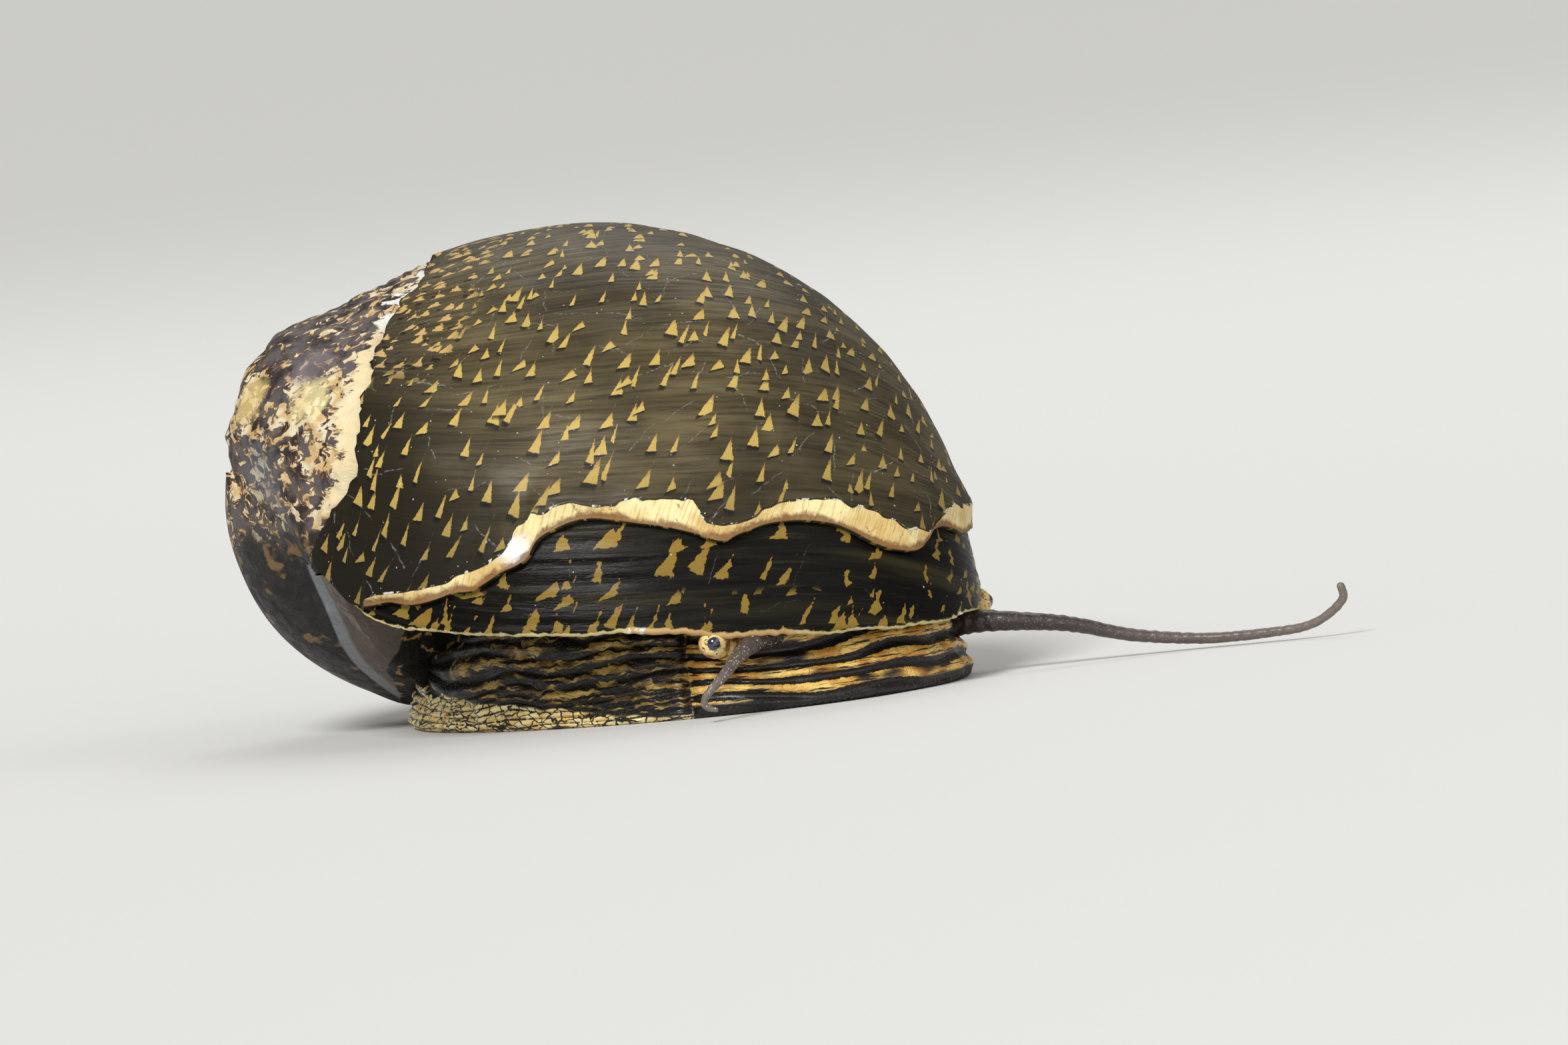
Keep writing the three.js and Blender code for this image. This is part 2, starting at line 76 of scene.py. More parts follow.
# Where the shell's parts lie round a point inside it.
SHELL_MIDDLE = np.array([-1.5, 1.0, 6.5])
RIM = [
    [-180, 120], [-165, 124], [-150, 125], [-136, 122], [-127, 117], [-119, 109], [-112, 100],
    [-107, 94], [-104, 91.6], [-100, 95.3], [-92, 99.5], [-84, 101.2], [-66, 103.6], [-48, 104.9],
    [-38, 106.4], [-19, 107.6], [-2, 108.4], [15, 108.5], [32, 107], [60, 109], [100, 112],
    [140, 114], [165, 117], [180, 120],
]
OLD_RIM = [
    [-180, 120], [-165, 124], [-150, 125], [-136, 124], [-127, 121], [-119, 117], [-112, 113],
    [-104, 110], [-90, 110], [0, 110], [100, 112], [140, 114], [165, 117], [180, 120],
]
RIDGE = [
    [-107, 93.6], [-104, 91.7], [-97, 95.7], [-90, 95.7], [-82, 95.2], [-75, 93.6], [-70, 90.2],
    [-66.6, 86.1], [-58, 84.8], [-50, 85.1], [-42, 86.6], [-37.5, 89.2], [-34, 92.2], [-28, 90.3],
    [-21, 89.2], [-12.6, 90.2], [-6, 94.3], [1, 97.5], [9, 94.2], [21, 94.5], [40, 97], [60, 100],
    [90, 106], [100, 110], [106, 112],
]
# The lower side of the broken edge where it is seen: theta, phi.
SEEN_EDGE = [
    [-107, 93.6], [-104, 91.7], [-97, 96.2], [-93, 96.5], [-90, 96.3], [-86, 97.0], [-82, 96.6],
    [-78.6, 95.9], [-75.7, 95.9], [-73.5, 95.0], [-70.7, 93.6], [-68, 92.7], [-66.3, 91.5],
    [-65.5, 90.0], [-64.4, 88.8], [-61.9, 87.7], [-59, 86.8], [-56, 86.6], [-52, 87.3], [-48, 88.3],
    [-45, 89.0], [-41.4, 90.1], [-38.8, 91.1], [-36.2, 92.3], [-34.3, 92.6], [-32.8, 92.0],
    [-30.4, 91.4], [-27.4, 90.8], [-24.5, 90.7], [-21.6, 90.9], [-18.7, 91.4], [-15.9, 92.2],
    [-13.3, 93.5], [-10.7, 95.2], [-8, 96.7], [-4.8, 97.6], [-1.2, 97.9], [1.8, 96.9], [4, 95.7],
    [6.7, 95.3], [9.8, 95.9], [12.5, 96.8], [16, 97.3], [24, 97.0], [40, 98.6], [60, 100.6],
    [90, 106], [100, 110], [106, 112],
]
# The seam round the older whorls: theta, phi, and how much of a step there is.
SEAM = [
    [-150, 85.2, 0.2], [-158.4, 82.2, 0.6], [-165.7, 75, 1], [-170.3, 64.1, 1], [-169.5, 50.9, 1],
    [-157.7, 39, 1], [-145.6, 35.8, 1], [-131, 36.3, 1], [-118.1, 40.8, 1], [-109.4, 48.7, 1],
    [-105, 58.7, 1], [-103.9, 69.6, 1], [-105, 80.5, 1], [-107, 88, 1], [-108.5, 96, 1],
    [-111, 112, 1], [-114, 132, 0.5], [-132, 136, 0], [-150, 132, 0], [-150, 108, 0],
]
# How far the whorl's edge at the seam lies from the table above on the seen side: phi, millimetres.
SEAM_SHIFT = [
    [40, 0], [47, -0.95], [54, -0.75], [63, 0.3], [72, 1.1], [76, 1.15], [79, 0.95], [82, 0.5], [85.4, 0.15],
    [88.4, 0], [90.9, 0.2], [92.6, 0.8], [93.6, 1.25], [94.5, 1.7], [96, 2.5], [99, 3.8], [104, 5],
]
SPIRE_MIDDLE = [-135, 78]
SEEN_SEAM = -112
SPIRE_WORN = 0.25
SEWN = 10  # degrees each side of the seam where both pieces keep one form
SEWN_DOWN_TO = 92
SMOOTH_ROUNDS = 6
SMOOTH_SHARE = 0.6
STEP = 4
COLUMNS = 360 // STEP
LAYERS = 34
FILL = [
    [-32, 0], [-20, 0.4], [-10, 0.6], [0, 0.6], [10, 0.75], [20, 1.6], [30, 1.35], [40, 0.35],
    [50, 0.2], [70, 0],
]
FILL_SPREAD = 45
SEEN_FROM = -45


def through(table, x):
    """A smooth curve through the rows of a table at x: a cubic with level-headed slopes, its ends held level."""
    table = np.asarray(table, float)
    place, value = table[:, 0], table[:, 1]
    last = len(place) - 1
    ahead = np.minimum(np.arange(last + 1) + 1, last)
    behind = np.maximum(np.arange(last + 1) - 1, 0)
    slope = (value[ahead] - value[behind]) / (place[ahead] - place[behind])
    x = np.clip(np.asarray(x, float), place[0], place[-1])
    i = np.clip(np.searchsorted(place, x, side="right") - 1, 0, last - 1)
    width = place[i + 1] - place[i]
    k = (x - place[i]) / width
    h = 1 - k
    ends = (1 + 2 * k) * h * h * value[i] + k * k * (1 + 2 * h) * value[i + 1]
    return ends + k * h * width * (h * slope[i] - k * slope[i + 1])


def smooth(value, low, high):
    """0 below low, 1 above high and an even S between them."""
    k = np.clip((value - low) / (high - low), 0, 1)
    return k * k * (3 - 2 * k)


def waves(points, size, seed, count=14):
    """Even noise of about -1 to 1: the mean of plane waves of about the given length in random directions."""
    draw = np.random.default_rng(seed)
    total = np.zeros(points.shape[:-1])
    for _ in range(count):
        way = draw.normal(size=points.shape[-1])
        way = way / np.linalg.norm(way) * 2 * np.pi / (size * draw.uniform(0.7, 1.5))
        total = total + np.sin(points @ way + draw.uniform(0, 2 * np.pi))
    return total * np.sqrt(2 / count) * 0.7


def lip_curve(t):
    """The lip at share t of its way round: a rounded oval, tilted, swollen and gently twisted."""
    f = np.radians(LIP_START + (LIP_END - LIP_START) * t)
    c, s = np.cos(f), np.sin(f)
    r = (abs(c) ** LIP_POWER + abs(s) ** LIP_POWER) ** (-1 / LIP_POWER)
    x, y = LIP_A * r * c, LIP_B * r * s
    u = x * np.cos(LIP_TURN) - y * np.sin(LIP_TURN)
    v = -(x * np.sin(LIP_TURN) + y * np.cos(LIP_TURN))
    z = LIP_SWELL * c * c + LIP_TWIST * np.sin(2 * f) + u * LIP_SLOPE_U + v * LIP_SLOPE_V
    return LIP_CENTRE + np.stack([u, v, z], -1)


def coil(s, t):
    """The coil at s degrees of growth and share t of the lip: the lip turned by -s about the axis through
    the apex, scaled by GROWTH for each turn, then squeezed in depth and turned into place."""
    arm = lip_curve(t) - APEX
    angle = np.radians(-s)[..., None]
    across = np.cross(np.broadcast_to(AXIS, arm.shape), arm)
    arm = arm * np.cos(angle) + across * np.sin(angle) + AXIS * (arm @ AXIS)[..., None] * (1 - np.cos(angle))
    p = APEX + arm * (GROWTH ** (s / 360))[..., None]
    v = p[..., 1] * SHELL_DEPTH + SHELL_BACK
    x = p[..., 0] * np.cos(SHELL_TURN) - v * np.sin(SHELL_TURN)
    y = p[..., 0] * np.sin(SHELL_TURN) + v * np.cos(SHELL_TURN)
    return np.stack([x, y, p[..., 2]], -1)


def ray(theta, phi):
    """The unit vector at theta round the vertical and phi down from straight up."""
    theta, phi = np.radians(theta), np.radians(phi)
    return np.stack([np.cos(theta) * np.sin(phi), np.sin(theta) * np.sin(phi), np.cos(phi) + 0 * theta], -1)


def coil_triangles(start, stop):
    """One length of the coil as triangles: a corner and two edges from it."""
    growth = np.linspace(start, stop, int(np.ceil((stop - start) / 5)) + 1)
    share = np.linspace(T_FIRST, T_LAST, 45)
    net = coil(*np.meshgrid(growth, share, indexing="ij"))
    a, b = net[:-1, :-1].reshape(-1, 3), net[:-1, 1:].reshape(-1, 3)
    c, d = net[1:, 1:].reshape(-1, 3), net[1:, :-1].reshape(-1, 3)
    return np.concatenate([a, a]), np.concatenate([b - a, c - a]), np.concatenate([c - a, d - a])


def reach(ways, triangles):
    """How far out each ray from the shell's middle meets the triangles at last, and 0 where it meets none."""
    corner, e, f = triangles
    q = SHELL_MIDDLE - corner
    flat, low, high = np.cross(f, e), np.cross(f, q), np.cross(q, e)
    far = (f * high).sum(1)
    out = np.zeros(len(ways))
    for k in range(0, len(ways), 400):
        way = ways[k:k + 400]
        det = way @ flat.T
        with np.errstate(divide="ignore", invalid="ignore"):
            a, b, r = (way @ low.T) / det, (way @ high.T) / det, far / det
        hit = (a > -1e-6) & (b > -1e-6) & (a + b < 1 + 1e-6)
        out[k:k + 400] = np.where(hit, r, 0).max(1)
    return out


def spread(values, known, rounds=80):
    """The unknown places of a grid filled from their neighbours, round after round."""
    values = np.where(known, values, 0.0)
    weight = known.astype(float)
    for _ in range(rounds):
        total, count = np.zeros_like(values), np.zeros_like(values)
        for axis, way in ((0, 1), (0, -1), (1, 1), (1, -1)):
            moved, heavy = np.roll(values, way, axis), np.roll(weight, way, axis)
            if axis == 0:
                edge = 0 if way == 1 else -1
                moved[edge], heavy[edge] = values[edge], weight[edge]
            total, count = total + moved * heavy, count + heavy
        filled = count > 0
        values = np.where(known, values, np.where(filled, total / np.maximum(count, 1e-9), values))
        weight = np.where(known | filled, 1.0, 0.0)
    return values


def mean_round(grid):
    """The mean of each place's four neighbours."""
    up = np.concatenate([grid[:1], grid[:-1]])
    down = np.concatenate([grid[1:], grid[-1:]])
    return (np.roll(grid, 1, 1) + np.roll(grid, -1, 1) + up + down) / 4


def filled_out(way):
    """How much the worn spire is filled out: a curve of the angle up from the left, fading towards the eye."""
    left = np.array([np.sin(np.radians(SEEN_FROM)), -np.cos(np.radians(SEEN_FROM)), 0])
    to_eye = np.degrees(np.arcsin(np.clip(way @ ray(SEEN_FROM, 90), -1, 1)))
    up = np.degrees(np.arctan2(way[..., 2], way @ left))
    return through(FILL, up) * np.exp(-((to_eye / FILL_SPREAD) ** 2))


# Plane of angles round the spire's middle.
SPIRE_WAY = ray(*SPIRE_MIDDLE)
SPIRE_UP = np.array([0, 0, 1]) - SPIRE_WAY[2] * SPIRE_WAY
SPIRE_UP = SPIRE_UP / np.linalg.norm(SPIRE_UP)
SPIRE_SIDE = np.cross(SPIRE_UP, SPIRE_WAY)


def round_spire(way):
    """Directions as a turn round the spire's middle and an angle out from it, both in degrees."""
    out = np.degrees(np.arccos(np.clip(way @ SPIRE_WAY, -1, 1)))
    turn = np.degrees(np.arctan2(way @ SPIRE_SIDE, way @ SPIRE_UP))
    return turn, out


def from_spire(turn, out):
    """The direction at a turn round the spire's middle and an angle out from it."""
    turn, out = np.radians(turn), np.radians(out)
    side = np.sin(turn)[..., None] * SPIRE_SIDE + np.cos(turn)[..., None] * SPIRE_UP
    return np.cos(out)[..., None] * SPIRE_WAY + np.sin(out)[..., None] * side


def seam_table():
    """The seam as rows of (turn, angle out, step), repeated over three turns so that it closes."""
    seam = np.array(SEAM, float)
    turn, out = round_spire(ray(seam[:, 0], seam[:, 1]))
    order = np.argsort(turn)
    rows = np.stack([turn[order], out[order], seam[order, 2]], -1)
    return np.concatenate([rows + [k * 360, 0, 0] for k in (-1, 0, 1)])


SEAM_ROWS = seam_table()


def seam_distance(way):
    """Degrees beyond the seam, less than 0 over the older whorls, and the step's strength there."""
    turn, out = round_spire(way)
    return out - through(SEAM_ROWS[:, :2], turn), through(SEAM_ROWS[:, [0, 2]], turn)


def seam_place(theta, phi, way, radius):
    """Millimetres beyond the seam as the photograph shows it, and its step."""
    beyond, step = seam_distance(way)
    seen = smooth(abs(np.mod(theta - SEEN_SEAM + 180, 360) - 180), 42, 30)
    return beyond * radius * np.pi / 180 - through(SEAM_SHIFT, phi) * seen, step


def shell_grids():
    """Radii on a grid of directions for the last whorl and for the older ones. Both follow the coil, less
    what the smoothing wore away near the spire and plus what fills it out."""
    phi, theta = np.meshgrid(np.arange(LAYERS + 1) * STEP, np.arange(COLUMNS) * STEP, indexing="ij")
    way = ray(theta, phi)
    flat = way.reshape(-1, 3)
    late = reach(flat, coil_triangles(-285, 6)).reshape(phi.shape)
    early = reach(flat, coil_triangles(-620, -255)).reshape(phi.shape)
    both = np.maximum(late, early)
    for i in range(1, LAYERS + 1):
        both[i] = np.where(both[i] > 0, both[i], both[i - 1])
    away = np.degrees(np.arccos(np.clip(way @ SPIRE_WAY, -1, 1)))
    share = SMOOTH_SHARE * np.clip((52 - away) / 14, 0, 1)
    share[0] = 0
    worn = both.copy()
    for _ in range(SMOOTH_ROUNDS):
        worn = worn + (mean_round(worn) - worn) * share
    worn = worn + filled_out(way)
    beyond, _ = seam_distance(way)
    sewn = (abs(beyond) < SEWN) & (phi < SEWN_DOWN_TO)
    grids = []
    for raw, own in ((late, beyond > 2), (early, beyond < -2)):
        own = (own & (raw > 0)) | sewn
        base = spread(raw, raw > 0)
        grids.append(np.where(own, worn, base + spread(worn - base, own)))
    return grids


def on_grid(grid, theta, phi):
    """A grid's value at any direction, by cubic curves both ways; the rows go on over the pole."""
    rows = np.concatenate([np.roll(grid[1:2], COLUMNS // 2, 1), grid, grid[-1:], grid[-1:]])
    y = np.clip(phi / STEP, 0, LAYERS - 1e-6)
    x = np.mod(theta / STEP, COLUMNS)
    i, j = np.floor(y).astype(int), np.floor(x).astype(int)
    y, x = y - i, x - j
    total = 0
    for a, row_share in enumerate(cubic_shares(y)):
        for b, column_share in enumerate(cubic_shares(x)):
            total = total + rows[i + a, (j + b - 1) % COLUMNS] * row_share * column_share
    return total


def cubic_shares(k):
    """Shares of four neighbouring values in a cubic curve between the middle two."""
    return (
        ((2 - k) * k - 1) * k / 2,
        ((3 * k - 5) * k * k + 2) / 2,
        ((4 - 3 * k) * k + 1) * k / 2,
        (k - 1) * k * k / 2,
    )


LATE_GRID, EARLY_GRID = shell_grids()


def growth_place(way, start, stop):
    """Where on the coil each direction lies, as (s, t): the nearest of a coarse net, then Newton's steps
    until the coil's point lies in that direction."""
    s_net, t_net = np.meshgrid(np.arange(start, stop, 8.0), np.linspace(-0.1, 1.0, 28), indexing="ij")
    net = coil(s_net, t_net) - SHELL_MIDDLE
    far = np.linalg.norm(net, axis=-1, keepdims=True)
    net = (net / far).reshape(-1, 3)
    bonus = (far / far.max()).reshape(-1) * 0.002
    flat = way.reshape(-1, 3)
    best = np.concatenate([
        np.argmax(flat[k:k + 4000] @ net.T + bonus, axis=1) for k in range(0, len(flat), 4000)
    ])
    s, t = s_net.reshape(-1)[best], t_net.reshape(-1)[best]
    side = np.cross(flat, [0.3, 0.2, 0.93])
    side = side / np.linalg.norm(side, axis=1, keepdims=True)
    up = np.cross(side, flat)

    def miss(s, t):
        arm = coil(s, t) - SHELL_MIDDLE
        return (arm * side).sum(1), (arm * up).sum(1)

    for _ in range(7):
        f, g = miss(s, t)
        fs, gs = miss(s + 0.5, t)
        ft, gt = miss(s, t + 0.002)
        fs, gs, ft, gt = (fs - f) / 0.5, (gs - g) / 0.5, (ft - f) / 0.002, (gt - g) / 0.002
        det = fs * gt - ft * gs
        det = np.where(abs(det) < 1e-6, 1e-6, det)
        s = s - np.clip((f * gt - g * ft) / det, -8, 8)
        t = t - np.clip((fs * g - gs * f) / det, -0.05, 0.05)
    return s.reshape(way.shape[:-1]), t.reshape(way.shape[:-1])


def growth_field(way, start, stop):
    """The markings' own place for each direction: millimetres of growth, millimetres along the lip, and
    the size of the shell when that part grew."""
    s, t = growth_place(way, start, stop)
    s = np.clip(s, start - 20, stop + 20)
    t = np.clip(t, -0.2, 1.15)
    return np.stack([-s * MM_PER_DEGREE, t * MM_PER_LIP, GROWTH ** (s / 360)], -1)


def ring_faces(count, around, first):
    """Quads between neighbouring rings and the two fans that close the ends, from point number first on."""
    i, j = np.meshgrid(np.arange(count - 1), np.arange(around), indexing="ij")
    a = (i * around + j).reshape(-1)
    b = (i * around + (j + 1) % around).reshape(-1)
    quads = np.stack([a, b, b + around, a + around], -1)
    k = np.arange(around)
    after = (k + 1) % around
    last = (count - 1) * around
    ends = np.concatenate([
        np.stack([after, k, np.full(around, count * around)], -1),
        np.stack([last + k, last + after, np.full(around, count * around + 1)], -1),
    ])
    return quads + first, ends + first


def with_ends(rings):
    """A grid of rings as a list of points, with the middles of its first and last ring added."""
    return np.concatenate([rings.reshape(-1, 3), rings[:1].mean(1), rings[-1:].mean(1)])


def put_mesh(name, bodies, finish, nodes):
    """A closed mesh from bodies of (rings, fields): rings of points in millimetres joined by quads, each end
    closed by a fan from its middle, the faces turned out, and the fields kept as attributes."""
    points, quads, ends = [], [], []
    first = 0
    for rings, _ in bodies:
        own = with_ends(rings)
        q, e = ring_faces(rings.shape[0], rings.shape[1], first)
        whole = np.concatenate([q[:, [0, 1, 2]], q[:, [0, 2, 3]], e]) - first
        volume = (own[whole[:, 0]] * np.cross(own[whole[:, 1]], own[whole[:, 2]])).sum()
        if volume < 0:
            q, e = q[:, ::-1], e[:, ::-1]
        points.append(own)
        quads.append(q)
        ends.append(e)
        first += len(own)
    points, quads, ends = (np.concatenate(part) for part in (points, quads, ends))
    mesh = bpy.data.meshes.new(name)
    mesh.vertices.add(len(points))
    mesh.vertices.foreach_set("co", (points * MM).astype(np.float32).reshape(-1))
    corners = np.concatenate([quads.reshape(-1), ends.reshape(-1)])
    starts = np.concatenate([np.arange(len(quads)) * 4, len(quads) * 4 + np.arange(len(ends)) * 3])
    mesh.loops.add(len(corners))
    mesh.loops.foreach_set("vertex_index", corners.astype(np.int32))
    mesh.polygons.add(len(starts))
    mesh.polygons.foreach_set("loop_start", starts.astype(np.int32))
    mesh.update(calc_edges=True)
    mesh.shade_smooth()
    for field in bodies[0][1]:
        kept = np.concatenate([with_ends(fields[field]) for _, fields in bodies])
        attribute = mesh.attributes.new(field, "FLOAT_VECTOR", "POINT")
        attribute.data.foreach_set("vector", kept.astype(np.float32).reshape(-1))
    piece = bpy.data.objects.new(name, mesh)
    bpy.context.scene.collection.objects.link(piece)
    mesh.materials.append(finish)
    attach(piece, "root")
    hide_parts(*nodes)
    return piece


class Recipe:
    """A node tree and short ways of adding to it. Plain values and sockets both go in, and sockets come out."""

    def __init__(self, tree):
        self.tree = tree

    def add(self, kind, values=None, **settings):
        node = self.tree.nodes.new(kind)
        for key, value in settings.items():
            setattr(node, key, value)
        for key, value in (values or {}).items():
            self.feed(node.inputs[key], value)
        return node

    def feed(self, socket, value):
        if isinstance(value, bpy.types.NodeSocket):
            self.tree.links.new(value, socket)
        elif value is not None:
            socket.default_value = value

    def math(self, operation, a, b=None, c=None):
        return self.add("ShaderNodeMath", {0: a, 1: b, 2: c}, operation=operation).outputs[0]

    def vector(self, operation, a, b=None):
        return self.add("ShaderNodeVectorMath", {0: a, 1: b}, operation=operation).outputs[0]

    def scale(self, a, factors):
        return self.vector("MULTIPLY", a, factors)

    def noise(self, where, size, detail=2.0, roughness=0.5, distortion=0.0):
        values = {"Vector": where, "Scale": size, "Detail": detail, "Roughness": roughness, "Distortion": distortion}
        return self.add("ShaderNodeTexNoise", values).outputs[0]

    def step(self, value, low, high, start=0.0, end=1.0):
        values = {"Value": value, "From Min": low, "From Max": high, "To Min": start, "To Max": end}
        return self.add("ShaderNodeMapRange", values, interpolation_type="SMOOTHSTEP").outputs[0]

    def mix(self, share, low, high):
        node = self.add("ShaderNodeMix", {0: share}, data_type="RGBA")
        self.feed(node.inputs[6], low)
        self.feed(node.inputs[7], high)
        return node.outputs[2]

    def attribute(self, name):
        return self.add("ShaderNodeAttribute", attribute_name=name).outputs["Vector"]

    def parts(self, vector):
        node = self.add("ShaderNodeSeparateXYZ", {0: vector})
        return node.outputs[0], node.outputs[1], node.outputs[2]

    def joined(self, x, y, z=0.0):
        return self.add("ShaderNodeCombineXYZ", {0: x, 1: y, 2: z}).outputs[0]

    def place(self):
        """Object coordinates in millimetres."""
        node = self.add("ShaderNodeTexCoord")
        return self.scale(node.outputs["Object"], (1000, 1000, 1000))

    def group(self, tree, values):
        node = self.add("ShaderNodeGroup", node_tree=tree)
        for key, value in values.items():
            self.feed(node.inputs[key], value)
        return node.outputs

    def bump(self, height, distance, strength=1.0, normal=None):
        values = {"Height": height, "Distance": distance * MM, "Strength": strength}
        if normal is not None:
            values["Normal"] = normal
        return self.add("ShaderNodeBump", values).outputs[0]


def new_group(name, sockets_in, sockets_out):
    """An empty shader group with named sockets, as (tree, recipe, input node's outputs, output node)."""
    tree = bpy.data.node_groups.new(name, "ShaderNodeTree")
    for label, kind, value in sockets_in:
        socket = tree.interface.new_socket(name=label, in_out="INPUT", socket_type=kind)
        if value is not None:
            socket.default_value = value
    for label, kind in sockets_out:
        tree.interface.new_socket(name=label, in_out="OUTPUT", socket_type=kind)
    recipe = Recipe(tree)
    return tree, recipe, recipe.add("NodeGroupInput").outputs, recipe.add("NodeGroupOutput")


def new_finish(name, roughness=0.5, specular=0.5, coat=0.0, coat_roughness=0.1, ior=1.5):
    """A material, its recipe and its Principled shader."""
    finish = bpy.data.materials.new(name)
    finish.use_nodes = True
    tree = finish.node_tree
    tree.nodes.clear()
    recipe = Recipe(tree)
    shader = recipe.add("ShaderNodeBsdfPrincipled", {
        "Roughness": roughness, "Specular IOR Level": specular, "Coat Weight": coat,
        "Coat Roughness": coat_roughness, "IOR": ior,
    })
    out = recipe.add("ShaderNodeOutputMaterial")
    tree.links.new(shader.outputs[0], out.inputs[0])
    return finish, recipe, shader


FLOAT, COLOUR, VECTOR = "NodeSocketFloat", "NodeSocketColor", "NodeSocketVector"


def sail_marks():
    """Ochre marks: a slim sail in each cell of a jittered net, its foot level across the growth and its tip
    towards the older shell, with ragged edges, random size and lean, some cells left empty, and a short
    dark shadow below each foot."""
    tree, r, given, out = new_group("sail_marks", [
        ("Place", VECTOR, None), ("Rows", FLOAT, 1.35), ("Columns", FLOAT, 1.15), ("Height", FLOAT, 1.0),
        ("Width", FLOAT, 0.44), ("Kept", FLOAT, 0.9), ("Lean", FLOAT, 0.3), ("Ragged", FLOAT, 0.1),
        ("Fineness", FLOAT, 6.0),
    ], [("Mask", FLOAT), ("Tip", FLOAT), ("Shadow", FLOAT)])
    grown, along, _ = r.parts(given["Place"])
    net = r.joined(r.math("DIVIDE", grown, given["Rows"]), r.math("DIVIDE", along, given["Columns"]))
    cell = r.add("ShaderNodeTexVoronoi", {"Vector": net, "Scale": 1.0, "Randomness": 0.88}, voronoi_dimensions="2D")
    chance, chance_b, chance_c = r.parts(cell.outputs["Color"])
    up, side, _ = r.parts(r.vector("SUBTRACT", net, cell.outputs["Position"]))
    up = r.math("MULTIPLY", up, given["Rows"])
    side = r.math("MULTIPLY", side, given["Columns"])
    ragged = r.noise(given["Place"], given["Fineness"], 2.0, 0.6)
    ragged = r.math("MULTIPLY", r.math("SUBTRACT", ragged, 0.5), given["Ragged"])
    lean = r.math("MULTIPLY", r.math("SUBTRACT", chance_c, 0.5), given["Lean"])
    side = r.math("ADD", side, r.math("MULTIPLY", up, lean))
    height = r.math("MULTIPLY", given["Height"], r.math("MULTIPLY_ADD", chance, 0.8, 0.5))
    width = r.math("MULTIPLY", given["Width"], r.math("MULTIPLY_ADD", chance_b, 0.9, 0.45))
    slant = r.math("MULTIPLY", side, r.math("SUBTRACT", chance, 0.5))
    share = r.math("DIVIDE", r.math("ADD", r.math("ADD", up, slant), r.math("MULTIPLY", height, 0.5)), height)
    share = r.math("ADD", share, ragged)
    side = r.math("ADD", r.math("ABSOLUTE", side), ragged)
    narrow = r.math("MULTIPLY_ADD", chance_c, 0.7, 0.7)
    taper = r.math("POWER", r.math("MAXIMUM", r.math("SUBTRACT", 1.0, share), 0.0), narrow)
    half = r.math("MULTIPLY", r.math("MULTIPLY", width, 0.5), taper)
    inside = r.step(r.math("SUBTRACT", half, side), -0.01, 0.03)
    above = r.step(share, 0.0, 0.05)
    odd = r.math("FRACT", r.math("MULTIPLY_ADD", chance, 7.31, r.math("MULTIPLY", chance_b, 5.17)))
    there = r.math("LESS_THAN", odd, given["Kept"])
    r.feed(out.inputs["Mask"], r.math("MULTIPLY", r.math("MULTIPLY", inside, above), there))
    r.feed(out.inputs["Tip"], r.step(share, 0.45, 0.95))
    under = r.math("MULTIPLY", r.step(share, -0.3, -0.06), r.step(share, 0.06, 0.0))
    near = r.step(r.math("SUBTRACT", r.math("MULTIPLY", width, 0.55), side), -0.03, 0.06)
    r.feed(out.inputs["Shadow"], r.math("MULTIPLY", r.math("MULTIPLY", under, near), there))
    return tree


def scratches():
    """Thin scratches: in each of a few scattered cells one line at a random slant, broken by noise."""
    tree, r, given, out = new_group("scratches", [("Place", VECTOR, None), ("Size", FLOAT, 0.6), ("Kept", FLOAT, 0.5),
                                                  ("Thick", FLOAT, 0.03), ("Long", FLOAT, 0.6)], [("Mask", FLOAT)])
    cell = r.add("ShaderNodeTexVoronoi", {"Vector": given["Place"], "Scale": given["Size"], "Randomness": 1.0},
                 voronoi_dimensions="2D")
    chance, other, turn = r.parts(cell.outputs["Color"])
    x, y, _ = r.parts(r.vector("SUBTRACT", given["Place"], cell.outputs["Position"]))
    angle = r.math("MULTIPLY", turn, 3.1416)
    cos, sin = r.math("COSINE", angle), r.math("SINE", angle)
    along = r.math("MULTIPLY_ADD", x, cos, r.math("MULTIPLY", y, sin))
    across = r.math("SUBTRACT", r.math("MULTIPLY", y, cos), r.math("MULTIPLY", x, sin))
    bent = r.math("MULTIPLY", r.math("SUBTRACT", r.noise(given["Place"], 1.2, 2.0), 0.5), 0.5)
    across = r.math("ABSOLUTE", r.math("ADD", across, bent))
    thin = r.step(across, given["Thick"], 0.0)
    long = r.step(r.math("ABSOLUTE", along), given["Long"], r.math("MULTIPLY", given["Long"], 0.6))
    broken = r.step(r.noise(given["Place"], 7.0, 3.0, 0.7), 0.42, 0.6)
    there = r.math("LESS_THAN", chance, given["Kept"])
    faint = r.math("MULTIPLY_ADD", other, 0.7, 0.3)
    mask = r.math("MULTIPLY", r.math("MULTIPLY", thin, long), r.math("MULTIPLY", broken, there))
    r.feed(out.inputs["Mask"], r.math("MULTIPLY", mask, faint))
    return tree


def growth_lines():
    """Fine growth lines: noise drawn out along the lip, coarse and fine together."""
    tree, r, given, out = new_group("growth_lines", [("Place", VECTOR, None), ("Fineness", FLOAT, 6.0)],
                                    [("Fine", FLOAT), ("Broad", FLOAT)])
    place = r.scale(given["Place"], (1.0, 0.07, 0.0))
    r.feed(out.inputs["Fine"], r.noise(place, given["Fineness"], 4.0, 0.65))
    r.feed(out.inputs["Broad"], r.noise(place, r.math("MULTIPLY", given["Fineness"], 0.17), 3.0, 0.55))
    return tree


